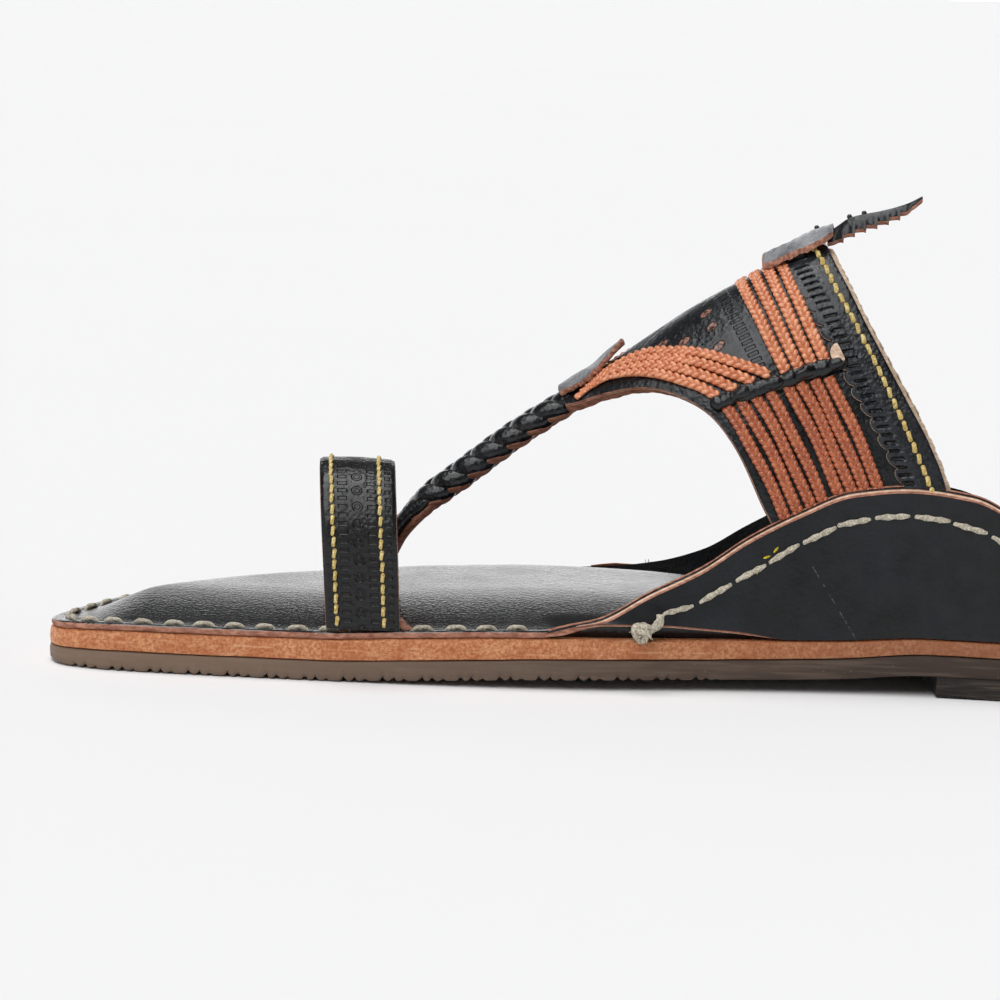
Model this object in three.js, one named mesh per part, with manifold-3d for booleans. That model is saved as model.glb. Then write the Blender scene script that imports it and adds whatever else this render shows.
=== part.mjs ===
// A right kolhapuri sandal: a layered flat sole, a big-toe ring, and a T-shaped instep
// strap whose neck runs forward as a thick plaited strap to the gap beside the big toe.
// Two side flaps stand on the sole's edges and hold the legs of the instep strap.
//
// Millimetres, +Z up. The toe points along -X and the medial (big toe) side is -Y.
// The floor is Z = 0 and the origin is below the middle of the outline.
// Stations along the sole are given as t, the distance back from the toe tip.

import * as THREE from 'three';
import Module from 'manifold-3d';

const LENGTH = 275;
const GAP = 0.3;
const OUTLINE_SAMPLES = 900;

const INSOLE_THICKNESS = 1.5;
const INSOLE_CROWN = 3.8;
const CROWN_MARGIN = 4.8;
const CROWN_RUN = 18;
const WAIST_FROM = 125;
const WAIST_TO = 165;
const WAIST_EASE = 0.45;
const HEEL_BREAST = 193.8;
const HEEL_BREAST_SKEW = 0.075;

const FLAP_FROM = 113;
const FLAP_TO = 244;
const FLAP_THICKNESS = 3.0;
const FLAP_LEAN = 0.11;
const FLAP_INSET = 0.4;
const FLAP_BEVEL = 1.0;

const UPPER_THICKNESS = 2.2;

const RING_THICKNESS = 2.4;
const RING_MEDIAL = -48.8;
const RING_LATERAL = -15.5;
const RING_FRONT = 61.9;
const RING_WIDTH = 15.8;
const RING_WIDTH_GAIN = 0.5;
const RING_LEAN = 2.7;
const RING_RISE = 34.9;
const RING_TURN = 0.085;
const RING_STRAIGHT = 17.7;

const TAB_THICKNESS = 1.4;
const BAR_WIDTH = 2.6;
const BAR_HEIGHT = 1.7;
const BAR_SEAT_RADIUS = 60;

// Outline of the sole: distance of each edge from the X axis at station t.
const OUTLINE = [
  { t: 0, medial: -35, lateral: -35 },
  { t: 3, medial: -43.5, lateral: -26 },
  { t: 10, medial: -47.2, lateral: -10.5 },
  { t: 18, medial: -48.6, lateral: 2.5 },
  { t: 30, medial: -49.3, lateral: 17 },
  { t: 45, medial: -49.5, lateral: 31.5 },
  { t: 65, medial: -49.5, lateral: 43 },
  { t: 90, medial: -49, lateral: 48 },
  { t: 118, medial: -46.5, lateral: 47 },
  { t: 150, medial: -39.5, lateral: 42 },
  { t: 185, medial: -35.5, lateral: 34.5 },
  { t: 225, medial: -36.5, lateral: 29.5 },
  { t: 255, medial: -32, lateral: 24.5 },
  { t: 270, medial: -20, lateral: 12.5 },
  { t: 275, medial: -3.5, lateral: -3.5 },
];

// Height of the outsole's underside and thickness of the rubber and tan leather layers.
const STACK = [
  { t: 0, bottom: 0.4, rubber: 3.3, tan: 3.7 },
  { t: 8, bottom: 0.1, rubber: 3.9, tan: 4.2 },
  { t: 20, bottom: 0, rubber: 4.2, tan: 4.4 },
  { t: 60, bottom: 0, rubber: 4.3, tan: 4.6 },
  { t: 80, bottom: 0.7, rubber: 4.4, tan: 4.8 },
  { t: 110, bottom: 1.9, rubber: 4.5, tan: 4.5 },
  { t: 150, bottom: 2.5, rubber: 4.4, tan: 4.1 },
  { t: 172, bottom: 3.1, rubber: 4.5, tan: 3.8 },
  { t: 192, bottom: 4.5, rubber: 4.6, tan: 3.4 },
  { t: 275, bottom: 4.5, rubber: 4.6, tan: 3.2 },
];

// Height above the floor of the top edge of each side flap.
const FLAP_TOP = [
  { t: 113, medial: 13.6, lateral: 13.4 },
  { t: 120, medial: 15.2, lateral: 14.0 },
  { t: 131, medial: 21.2, lateral: 15.8 },
  { t: 142, medial: 26.6, lateral: 19.6 },
  { t: 152, medial: 33.4, lateral: 26.0 },
  { t: 163, medial: 39.2, lateral: 32.4 },
  { t: 174, medial: 43.8, lateral: 37.0 },
  { t: 187, medial: 45.2, lateral: 39.6 },
  { t: 200, medial: 43.9, lateral: 38.0 },
  { t: 212, medial: 38.0, lateral: 33.0 },
  { t: 226, medial: 28.0, lateral: 25.0 },
  { t: 238, medial: 18.6, lateral: 17.6 },
  { t: 244, medial: 15.2, lateral: 15.2 },
];

// The last under the instep: ridge height, where the ridge runs across the foot, and how
// far the section reaches from the ridge to each side.
const INSTEP = [
  { t: 100, ridge: 54.5, centre: -8.5, medial: 22.0, lateral: 22.0 },
  { t: 108, ridge: 59.5, centre: -7.5, medial: 23.5, lateral: 23.5 },
  { t: 116, ridge: 64.5, centre: -6.5, medial: 25.0, lateral: 25.0 },
  { t: 123, ridge: 70.0, centre: -6.0, medial: 26.5, lateral: 27.0 },
  { t: 131, ridge: 76.0, centre: -5.5, medial: 28.0, lateral: 29.0 },
  { t: 139, ridge: 81.3, centre: -5.0, medial: 29.5, lateral: 31.5 },
  { t: 146, ridge: 85.5, centre: -4.5, medial: 30.2, lateral: 33.5 },
  { t: 153, ridge: 89.5, centre: -4.0, medial: 30.0, lateral: 35.5 },
  { t: 167, ridge: 95.2, centre: -3.0, medial: 28.8, lateral: 35.5 },
  { t: 180, ridge: 98.6, centre: -2.5, medial: 28.2, lateral: 32.8 },
  { t: 201, ridge: 100, centre: -2.0, medial: 28.4, lateral: 29.3 },
];

// The instep strap's two cut edges, fold by fold from the ridge down to the insole.
// Angles are degrees round the section, 0 at the ridge and 90 at the insole.
const STRAP_EDGES = [
  { fold: 0, frontT: 109.4, frontAngle: 0, rearT: 166.8, rearAngle: 0 },
  { fold: 1, frontT: 110.0, frontAngle: 17, rearT: 168.0, rearAngle: 10 },
  { fold: 2, frontT: 118.5, frontAngle: 27.0, rearT: 169.5, rearAngle: 19 },
  { fold: 3, frontT: 127.0, frontAngle: 34.9, rearT: 172.5, rearAngle: 29 },
  { fold: 4, frontT: 134.4, frontAngle: 42.6, rearT: 176.0, rearAngle: 38 },
  { fold: 5, frontT: 141.6, frontAngle: 50.6, rearT: 180.5, rearAngle: 46.5 },
  { fold: 6, frontT: 148.9, frontAngle: 60.3, rearT: 186.0, rearAngle: 55 },
  { fold: 7, frontT: 154.5, frontAngle: 69.5, rearT: 191.0, rearAngle: 62 },
  { fold: 8, frontT: 158.5, frontAngle: 76, rearT: 195.0, rearAngle: 69 },
  { fold: 9, frontT: 163.0, frontAngle: 90, rearT: 201.0, rearAngle: 90 },
];

// Centre line of the plaited strap, from the toe gap up to the neck of the instep strap.
const PLAIT = [
  { t: 70.4, y: -10.6, z: 15.3, width: 8.4, depth: 5.0 },
  { t: 70.8, y: -10.6, z: 20.0, width: 8.4, depth: 5.0 },
  { t: 73.2, y: -10.6, z: 26.6, width: 8.6, depth: 5.6 },
  { t: 78.6, y: -10.4, z: 33.4, width: 9.0, depth: 6.2 },
  { t: 88.0, y: -9.8, z: 41.0, width: 9.4, depth: 6.4 },
  { t: 99.5, y: -8.8, z: 50.2, width: 10.0, depth: 6.2 },
  { t: 110.5, y: -7.4, z: 57.8, width: 11.0, depth: 5.6 },
  { t: 117.0, y: -6.6, z: 62.4, width: 12.0, depth: 3.4 },
];

// The leaf over the plait's join, and the leaf with a tail at the top of the ridge.
const FRONT_LEAF = [
  { t: 107.2, lift: 0.0, halfAngle: 4 },
  { t: 110, lift: 0.1, halfAngle: 12 },
  { t: 115, lift: 0.2, halfAngle: 14 },
  { t: 120, lift: 0.6, halfAngle: 9 },
  { t: 124, lift: 1.0, halfAngle: 2 },
];
const TOP_LEAF = [
  { t: 151.5, y: -4.1, z: 90.6, halfWidth: 3.0, drop: 0.1, tilt: 0 },
  { t: 154, y: -3.9, z: 92.0, halfWidth: 6.2, drop: 0.6, tilt: 0 },
  { t: 160, y: -3.5, z: 95.2, halfWidth: 7.6, drop: 0.9, tilt: 0 },
  { t: 165, y: -3.2, z: 97.6, halfWidth: 7.2, drop: 0.7, tilt: 0 },
  { t: 167, y: -3.1, z: 98.4, halfWidth: 5.8, drop: 0.4, tilt: 0.1 },
  { t: 168.4, y: -3.0, z: 98.9, halfWidth: 3.5, drop: 0.2, tilt: 0.3 },
  { t: 175, y: -3.0, z: 101.6, halfWidth: 3.0, drop: 0.1, tilt: 0.24 },
  { t: 182, y: -3.0, z: 104.2, halfWidth: 1.9, drop: 0.1, tilt: 0.16 },
  { t: 187, y: -3.0, z: 106.0, halfWidth: 0.5, drop: 0, tilt: 0 },
];

// Route of the rolled bar that divides the cord panels on each side of the instep.
const BAR_ROUTE = [
  { t: 143.0, angle: 46.8 },
  { t: 155.0, angle: 47.6 },
  { t: 171.0, angle: 45.2 },
];

const MATERIALS = {
  rubber: { color: 0x6e5a4d, roughness: 0.85 },
  heelRubber: { color: 0x4c3f39, roughness: 0.85 },
  tanLeather: { color: 0xb8693f, roughness: 0.75 },
  blackLeather: { color: 0x24262b, roughness: 0.5 },
  greyLeather: { color: 0x3a3c40, roughness: 0.6 },
};

// Smooth, overshoot-free interpolation of one named column of a table against another.
function column(rows, name, key = 't') {
  const xs = rows.map((row) => row[key]);
  const ys = rows.map((row) => row[name]);
  const slopes = xs.slice(1).map((x, i) => (ys[i + 1] - ys[i]) / (x - xs[i]));
  const tangents = xs.map((x, i) => {
    if (i === 0) return slopes[0];
    if (i === xs.length - 1) return slopes[i - 1];
    const product = slopes[i - 1] * slopes[i];
    return product <= 0 ? 0 : (2 * product) / (slopes[i - 1] + slopes[i]);
  });
  return (x) => {
    const clamped = Math.min(Math.max(x, xs[0]), xs[xs.length - 1]);
    let i = 0;
    while (i < xs.length - 2 && clamped > xs[i + 1]) i += 1;
    const span = xs[i + 1] - xs[i];
    const f = (clamped - xs[i]) / span;
    const blend = f * f * (3 - 2 * f);
    const rise = f * (1 - f) * (1 - f) * tangents[i] - f * f * (1 - f) * tangents[i + 1];
    return ys[i] * (1 - blend) + ys[i + 1] * blend + rise * span;
  };
}

const toX = (t) => t - LENGTH / 2;
const radians = THREE.MathUtils.degToRad;
const lerp = THREE.MathUtils.lerp;
const smoothstep = THREE.MathUtils.smoothstep;
const spread = (count) => Array.from({ length: count + 1 }, (_, i) => i / count);
const easedSpread = (count) => spread(count).map((f) => (1 - Math.cos(Math.PI * f)) / 2);

// Edge lookups of the sole outline moved inwards by an inset: edge[side](t).
function makeEdges(inset) {
  const inner = OUTLINE.slice(1, -1);
  const loop = [
    OUTLINE[0],
    ...inner,
    OUTLINE[OUTLINE.length - 1],
    ...inner.slice().reverse(),
  ].map((row, i) => new THREE.Vector3(toX(row.t), i < OUTLINE.length ? row.medial : row.lateral, 0));
  const curve = new THREE.CatmullRomCurve3(loop, true, 'centripetal');
  const sides = { medial: [], lateral: [] };
  for (let i = 0; i <= OUTLINE_SAMPLES; i += 1) {
    const u = i / OUTLINE_SAMPLES;
    const point = curve.getPoint(u % 1);
    const tangent = curve.getTangent(u % 1);
    const moved = { x: point.x - tangent.y * inset, y: point.y + tangent.x * inset };
    if (u <= 0.5) sides.medial.push(moved);
    if (u >= 0.5) sides.lateral.unshift(moved);
  }
  const look = (points) => (t) => {
    const x = THREE.MathUtils.clamp(toX(t), points[0].x, points[points.length - 1].x);
    const i = Math.max(1, points.findIndex((p) => p.x >= x));
    const a = points[i - 1];
    const b = points[i];
    return lerp(a.y, b.y, b.x === a.x ? 0 : (x - a.x) / (b.x - a.x));
  };
  return {
    medial: look(sides.medial),
    lateral: look(sides.lateral),
    from: sides.medial[0].x + LENGTH / 2,
    to: sides.medial[sides.medial.length - 1].x + LENGTH / 2,
  };
}

const stackBottom = column(STACK, 'bottom');
const rubberThickness = column(STACK, 'rubber');
const tanThickness = column(STACK, 'tan');
const rubberTop = (t) => stackBottom(t) + rubberThickness(t);
const tanTop = (t) => rubberTop(t) + tanThickness(t);
const insoleEdgeTop = (t) => tanTop(t) + INSOLE_THICKNESS;

// A closed mesh whose faces point outwards, whichever way round they were listed.
function outwardSolid(points, faces) {
  const corner = (i) => new THREE.Vector3().fromArray(points, 3 * faces[i]);
  let volume = 0;
  for (let i = 0; i < faces.length; i += 3) {
    volume += corner(i).dot(corner(i + 1).cross(corner(i + 2)));
  }
  const geometry = new THREE.BufferGeometry();
  geometry.setAttribute('position', new THREE.Float32BufferAttribute(points, 3));
  geometry.setIndex(volume < 0 ? faces.reverse() : faces);
  return geometry;
}

// A closed solid between two grids of points with the same number of rows and columns.
function solidBetween(upperGrid, lowerGrid) {
  const points = [];
  const lookup = new Map();
  const vertex = (p) => {
    const key = [p.x, p.y, p.z].map((value) => Math.round(value * 500)).join(' ');
    if (!lookup.has(key)) {
      lookup.set(key, points.length / 3);
      points.push(p.x, p.y, p.z);
    }
    return lookup.get(key);
  };
  const top = upperGrid.map((row) => row.map(vertex));
  const bottom = lowerGrid.map((row) => row.map(vertex));
  const faces = [];
  const triangle = (a, b, c) => {
    if (a !== b && b !== c && a !== c) faces.push(a, b, c);
  };
  const quad = (a, b, c, d) => {
    triangle(a, b, c);
    triangle(a, c, d);
  };
  const rows = top.length - 1;
  const cols = top[0].length - 1;
  for (let i = 0; i < rows; i += 1) {
    for (let j = 0; j < cols; j += 1) {
      quad(top[i][j], top[i + 1][j], top[i + 1][j + 1], top[i][j + 1]);
      quad(bottom[i][j], bottom[i][j + 1], bottom[i + 1][j + 1], bottom[i + 1][j]);
    }
    quad(top[i][0], bottom[i][0], bottom[i + 1][0], top[i + 1][0]);
    quad(top[i][cols], top[i + 1][cols], bottom[i + 1][cols], bottom[i][cols]);
  }
  for (let j = 0; j < cols; j += 1) {
    quad(top[0][j], top[0][j + 1], bottom[0][j + 1], bottom[0][j]);
    quad(top[rows][j], bottom[rows][j], bottom[rows][j + 1], top[rows][j + 1]);
  }
  return outwardSolid(points, faces);
}

// A plate of the sole: stations along the foot, columns from the medial to the lateral edge.
function plate({ medial, lateral, stations, columns, top, bottom }) {
  const grid = (height) => stations.map((t) => columns.map((f) => {
    const y = lerp(medial(t), lateral(t), f);
    return new THREE.Vector3(toX(t), y, height(t, y));
  }));
  return solidBetween(grid(top), grid(bottom));
}

const outerEdges = makeEdges(0);
const middleEdges = makeEdges(0.3);
const innerEdges = makeEdges(0.5);

const stationsOf = (edges, count) => easedSpread(count).map((f) => lerp(edges.from, edges.to, f));

function makeOutsole() {
  const flatStations = [20, 60, 192];
  const stations = [...stationsOf(outerEdges, 40), ...flatStations].sort((a, b) => a - b);
  return plate({
    ...outerEdges,
    stations,
    columns: spread(3),
    top: (t) => rubberTop(t) - GAP / 2,
    bottom: (t) => stackBottom(t),
  });
}

function makeMidsole() {
  return plate({
    ...middleEdges,
    stations: stationsOf(middleEdges, 40),
    columns: spread(3),
    top: (t) => tanTop(t) - GAP / 2,
    bottom: (t) => rubberTop(t) + GAP / 2,
  });
}

// The heel block; its front face runs slightly back towards the lateral side.
function makeHeel() {
  const edges = makeEdges(0.4);
  const grid = (z) => easedSpread(20).map((f) => spread(4).map((across) => {
    const t = lerp(HEEL_BREAST, edges.to, f);
    const y = lerp(edges.medial(t), edges.lateral(t), across);
    const skew = (y - edges.medial(HEEL_BREAST)) * HEEL_BREAST_SKEW * (1 - f) ** 3;
    return new THREE.Vector3(toX(t + skew), y, z);
  }));
  return solidBetween(grid(stackBottom(LENGTH) - GAP), grid(0));
}

// Inside the flaps the insole is cut back so that each flap can stand on the tan layer.
const flapCut = (t) => {
  const front = smoothstep(t, FLAP_FROM - 5, FLAP_FROM - 0.6);
  const rear = 1 - smoothstep(t, FLAP_TO + 0.6, FLAP_TO + 5);
  return (FLAP_THICKNESS + FLAP_INSET) * front * rear;
};

// The footbed rises from a flat margin to a soft crown.
function insoleTop(t, y) {
  const side = Math.min(y - innerEdges.medial(t), innerEdges.lateral(t) - y);
  const end = Math.min(t - innerEdges.from, innerEdges.to - t) * 1.3;
  const crown = smoothstep(Math.min(side, end), CROWN_MARGIN, CROWN_MARGIN + CROWN_RUN);
  const ease = 1 - WAIST_EASE * smoothstep(t, WAIST_FROM, WAIST_TO);
  return insoleEdgeTop(t) + INSOLE_CROWN * crown * ease;
}

function makeInsole() {
  const extra = [FLAP_FROM - 5, FLAP_FROM - 3, FLAP_FROM - 0.6, FLAP_TO + 0.6, FLAP_TO + 3];
  const stations = [...stationsOf(innerEdges, 38), ...extra].sort((a, b) => a - b);
  return plate({
    medial: (t) => innerEdges.medial(t) + flapCut(t),
    lateral: (t) => innerEdges.lateral(t) - flapCut(t),
    stations,
    columns: [0, 0.05, 0.09, 0.14, 0.19, 0.25, 0.5, 0.75, 0.81, 0.86, 0.91, 0.95, 1],
    top: insoleTop,
    bottom: (t) => tanTop(t) + GAP / 2,
  });
}

// A side flap: a thick leather wall that follows the sole's edge and leans over the foot.
function makeFlap(side) {
  const inward = side === 'medial' ? 1 : -1;
  const topEdge = column(FLAP_TOP, side);
  const base = (t) => tanTop(t) + GAP / 2;
  const grid = (depth, topCut) => spread(40).map((along) => {
    const t = lerp(FLAP_FROM, FLAP_TO, along);
    const highest = topEdge(t) - topCut;
    return spread(5).map((up) => {
      const z = lerp(base(t), highest, up);
      const inset = FLAP_INSET + depth + FLAP_LEAN * (z - base(t));
      return new THREE.Vector3(toX(t), outerEdges[side](t) + inward * inset, z);
    });
  });
  const outer = grid(0, FLAP_BEVEL);
  const inner = grid(FLAP_THICKNESS - GAP, 0);
  return solidBetween(inner, outer);
}

const ridgeHeight = column(INSTEP, 'ridge');
const ridgeCentre = column(INSTEP, 'centre');
const instepReach = { medial: column(INSTEP, 'medial'), lateral: column(INSTEP, 'lateral') };

// A point of the last's instep surface: station t and angle round the section in degrees,
// positive on the lateral side; lift moves it outwards along the surface's normal.
function instepPoint(t, angle, lift = 0) {
  const place = (station, degrees) => {
    const reach = instepReach[degrees < 0 ? 'medial' : 'lateral'](station);
    const base = insoleEdgeTop(station) + 2 * GAP;
    const bend = radians(degrees);
    return new THREE.Vector3(
      toX(station),
      ridgeCentre(station) + reach * Math.sin(bend),
      base + (ridgeHeight(station) - base) * Math.cos(bend),
    );
  };
  const point = place(t, angle);
  if (lift === 0) return point;
  const step = 0.25;
  const along = place(t + step, angle).sub(place(t - step, angle));
  const around = place(t, angle + step).sub(place(t, angle - step));
  const normal = along.cross(around).normalize();
  return point.addScaledVector(normal, lift);
}

// The instep strap's hollow wall, from one leg over the ridge to the other leg.
function makeInstepWall() {
  const edge = Object.fromEntries(
    ['frontT', 'frontAngle', 'rearT', 'rearAngle'].map((name) => [
      name,
      column(STRAP_EDGES, name, 'fold'),
    ]),
  );
  const lastFold = STRAP_EDGES.length - 1;
  const folds = spread(46).map((f) => lerp(-lastFold, lastFold, f));
  const grid = (lift) => folds.map((fold) => spread(10).map((across) => {
    const size = Math.abs(fold);
    const t = lerp(edge.frontT(size), edge.rearT(size), across);
    const angle = lerp(edge.frontAngle(size), edge.rearAngle(size), across);
    return instepPoint(t, Math.sign(fold) * angle, lift);
  }));
  return solidBetween(grid(-UPPER_THICKNESS), grid(0));
}

// The plaited strap as a rounded bar with the plait's outer size.
function makePlait() {
  const last = PLAIT.length - 1;
  const rows = PLAIT.map((row, i) => ({ ...row, i }));
  const at = Object.fromEntries(
    ['t', 'y', 'z', 'width', 'depth'].map((name) => [name, column(rows, name, 'i')]),
  );
  const centre = (i) => new THREE.Vector3(toX(at.t(i)), at.y(i), at.z(i));
  const sides = 12;
  const steps = spread(28).map((f) => f * last);
  const rings = steps.map((i) => {
    const ahead = centre(Math.min(i + 0.05, last));
    const along = ahead.sub(centre(Math.max(i - 0.05, 0))).normalize();
    const across = new THREE.Vector3(0, 1, 0);
    const out = along.clone().cross(across).normalize();
    return Array.from({ length: sides }, (_, k) => {
      const turn = (2 * Math.PI * k) / sides;
      return centre(i)
        .addScaledVector(across, (at.width(i) / 2) * Math.cos(turn))
        .addScaledVector(out, (at.depth(i) / 2) * Math.sin(turn));
    });
  });
  return loft(rings);
}

// A solid through rings of points, closed by a fan at each end.
function loft(rings) {
  const sides = rings[0].length;
  const points = rings.flat().flatMap((p) => [p.x, p.y, p.z]);
  const faces = [];
  for (let i = 0; i < rings.length - 1; i += 1) {
    for (let k = 0; k < sides; k += 1) {
      const next = (k + 1) % sides;
      const a = i * sides + k;
      const b = i * sides + next;
      faces.push(a, b, b + sides);
      faces.push(a, b + sides, a + sides);
    }
  }
  const last = (rings.length - 1) * sides;
  for (let k = 1; k < sides - 1; k += 1) {
    faces.push(0, k + 1, k);
    faces.push(last, last + k, last + k + 1);
  }
  return outwardSolid(points, faces);
}

const wasm = await Module();
wasm.setup();

// Joins closed solids into one.
function join(...geometries) {
  const solids = geometries.map((geometry) => new wasm.Manifold(new wasm.Mesh({
    numProp: 3,
    vertProperties: geometry.getAttribute('position').array,
    triVerts: new Uint32Array(geometry.getIndex().array),
  })));
  const mesh = solids.reduce((sum, solid) => sum.add(solid)).getMesh();
  const joined = new THREE.BufferGeometry();
  joined.setAttribute('position', new THREE.Float32BufferAttribute(mesh.vertProperties, 3));
  joined.setIndex(Array.from(mesh.triVerts));
  return joined;
}

// The big-toe ring: straight legs closed by a half ellipse, leaning towards the toe.
function makeToeRing() {
  const centre = (RING_MEDIAL + RING_LATERAL) / 2;
  const halfWidth = (RING_LATERAL - RING_MEDIAL) / 2;
  const base = insoleEdgeTop(RING_FRONT + RING_WIDTH) + INSOLE_CROWN + GAP;
  const medialBase = insoleEdgeTop(RING_FRONT + RING_WIDTH) + GAP;
  const legs = spread(4).slice(0, -1);
  const arcs = spread(16);
  const outline = (inset) => {
    const w = halfWidth - inset;
    const arch = RING_RISE - RING_STRAIGHT - inset;
    const spring = medialBase + RING_STRAIGHT;
    const up = legs.map((f) => [-w, lerp(medialBase, spring, f)]);
    const over = arcs.map((f) => [-w * Math.cos(Math.PI * f), spring + arch * Math.sin(Math.PI * f)]);
    const down = legs.map((f) => [w, lerp(base, spring, f)]).reverse();
    return [...up, ...over, ...down].map(([y, z]) => ({ y: centre + y, z }));
  };
  const grid = (inset) => outline(inset).map(({ y, z }) => spread(3).map((f) => {
    const height = (z - medialBase) / RING_RISE;
    const front = RING_FRONT - RING_LEAN * height - RING_TURN * (y - RING_MEDIAL);
    const t = front + f * (RING_WIDTH + RING_WIDTH_GAIN * height);
    return new THREE.Vector3(toX(t), y, z);
  }));
  return solidBetween(grid(RING_THICKNESS), grid(0));
}

// The leaf laid over the neck, bent with the instep and lifting at its rear tip.
function makeFrontLeaf() {
  const lift = column(FRONT_LEAF, 'lift');
  const halfAngle = column(FRONT_LEAF, 'halfAngle');
  const from = FRONT_LEAF[0].t;
  const to = FRONT_LEAF[FRONT_LEAF.length - 1].t;
  const grid = (height) => spread(12).map((along) => spread(8).map((across) => {
    const t = lerp(from, to, along);
    const angle = lerp(-halfAngle(t), halfAngle(t), across);
    return instepPoint(t, angle, GAP + 0.1 + lift(t) + height);
  }));
  return solidBetween(grid(0), grid(TAB_THICKNESS));
}

// The leaf on top of the ridge; it narrows into a pointed tail that rises behind.
function makeTopLeaf() {
  const at = Object.fromEntries(
    ['y', 'z', 'halfWidth', 'drop', 'tilt'].map((name) => [name, column(TOP_LEAF, name)]),
  );
  const from = TOP_LEAF[0].t;
  const to = TOP_LEAF[TOP_LEAF.length - 1].t;
  const grid = (height) => spread(22).map((along) => spread(6).map((across) => {
    const t = lerp(from, to, along);
    const reach = at.halfWidth(t) * (2 * across - 1);
    const sag = at.drop(t) * (2 * across - 1) ** 2;
    const y = at.y(t) + reach * Math.cos(at.tilt(t));
    return new THREE.Vector3(toX(t), y, at.z(t) + height + reach * Math.sin(at.tilt(t)) - sag);
  }));
  return solidBetween(grid(TAB_THICKNESS), grid(0));
}

// The rolled bar on one side of the instep.
function makeBar(side) {
  const hand = side === 'medial' ? -1 : 1;
  const angleAt = column(BAR_ROUTE, 'angle');
  const from = BAR_ROUTE[0].t;
  const to = BAR_ROUTE[BAR_ROUTE.length - 1].t;
  const halfSpan = BAR_WIDTH / 2 / radians(BAR_SEAT_RADIUS);
  const grid = (height) => spread(16).map((along) => spread(2).map((across) => {
    const t = lerp(from, to, along);
    const offset = lerp(-halfSpan, halfSpan, across);
    const crown = height * (1 - 0.4 * (2 * across - 1) ** 2);
    return instepPoint(t, hand * (angleAt(t) + offset), GAP + crown);
  }));
  return solidBetween(grid(BAR_HEIGHT), grid(0));
}

function addPiece(group, name, geometry, look) {
  geometry.computeVertexNormals();
  const mesh = new THREE.Mesh(geometry, new THREE.MeshStandardMaterial({ metalness: 0, ...look }));
  mesh.name = name;
  group.add(mesh);
}

const sandal = new THREE.Group();
addPiece(sandal, 'outsole', makeOutsole(), MATERIALS.rubber);
addPiece(sandal, 'heel', makeHeel(), MATERIALS.heelRubber);
addPiece(sandal, 'midsole', makeMidsole(), MATERIALS.tanLeather);
addPiece(sandal, 'insole', makeInsole(), MATERIALS.blackLeather);
addPiece(sandal, 'flap_medial', makeFlap('medial'), MATERIALS.blackLeather);
addPiece(sandal, 'flap_lateral', makeFlap('lateral'), MATERIALS.blackLeather);
addPiece(sandal, 'upper', join(makeInstepWall(), makePlait()), MATERIALS.blackLeather);
addPiece(sandal, 'toe_ring', makeToeRing(), MATERIALS.blackLeather);
addPiece(sandal, 'front_leaf', makeFrontLeaf(), MATERIALS.greyLeather);
addPiece(sandal, 'top_leaf', makeTopLeaf(), MATERIALS.greyLeather);
addPiece(sandal, 'bar_medial', makeBar('medial'), MATERIALS.blackLeather);
addPiece(sandal, 'bar_lateral', makeBar('lateral'), MATERIALS.blackLeather);

export default sandal;
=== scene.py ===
"""The look of a right kolhapuri sandal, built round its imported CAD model.

Sizes are millimetres until a mesh is made, and in its plan attribute. Other lengths in
the materials are metres. t is the distance back from the toe tip, the medial (big toe)
side is -Y, and angles run round the instep from its ridge.
"""
import math

import bmesh
import bpy
import numpy as np
from mathutils import Matrix, Vector


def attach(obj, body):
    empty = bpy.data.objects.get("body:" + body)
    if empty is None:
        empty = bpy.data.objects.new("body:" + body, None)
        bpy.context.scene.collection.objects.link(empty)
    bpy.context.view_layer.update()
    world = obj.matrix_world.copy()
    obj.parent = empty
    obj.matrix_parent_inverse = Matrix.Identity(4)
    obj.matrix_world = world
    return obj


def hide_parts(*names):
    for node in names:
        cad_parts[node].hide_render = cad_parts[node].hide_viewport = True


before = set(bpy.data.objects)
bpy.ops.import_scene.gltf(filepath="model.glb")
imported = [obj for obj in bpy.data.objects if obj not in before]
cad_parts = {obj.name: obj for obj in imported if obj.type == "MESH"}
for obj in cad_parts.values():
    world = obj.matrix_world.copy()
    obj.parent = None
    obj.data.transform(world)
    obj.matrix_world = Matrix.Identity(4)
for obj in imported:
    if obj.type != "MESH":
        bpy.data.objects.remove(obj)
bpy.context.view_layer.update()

MM = 0.001
LENGTH = 275.0
GAP = 0.3
WELD = 2e-6
HAND = {"medial": -1, "lateral": 1}
rng = np.random.default_rng(11)


# ---------------------------------------------------------------- tables and shape functions

def table(names, *rows):
    """A table's columns by name, from its rows."""
    return {name: np.array(values, float) for name, values in zip(names.split(), zip(*rows))}


def column(rows, name, key="t"):
    """Smooth, overshoot-free interpolation of one column of a table against another."""
    xs, ys = rows[key], rows[name]
    slopes = np.diff(ys) / np.diff(xs)
    tangents = np.concatenate([slopes[:1], slopes[1:], slopes[-1:]])
    product = slopes[:-1] * slopes[1:]
    total = np.where(product > 0, slopes[:-1] + slopes[1:], 1)
    tangents[1:-1] = np.where(product > 0, 2 * product / total, 0)

    def look(x):
        x = np.clip(x, xs[0], xs[-1])
        i = np.clip(np.searchsorted(xs, x, side="right") - 1, 0, len(xs) - 2)
        span = xs[i + 1] - xs[i]
        f = (x - xs[i]) / span
        blend = f * f * (3 - 2 * f)
        rise = f * (1 - f) ** 2 * tangents[i] - f * f * (1 - f) * tangents[i + 1]
        return ys[i] * (1 - blend) + ys[i + 1] * blend + rise * span

    return look


def curve(*knots):
    """A smooth function through (x, y) knots."""
    return column(table("x y", *knots), "y", "x")


def smoothstep(x, low, high):
    f = np.clip((x - low) / (high - low), 0, 1)
    return f * f * (3 - 2 * f)


def lerp(a, b, f):
    return a + (b - a) * f


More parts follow.
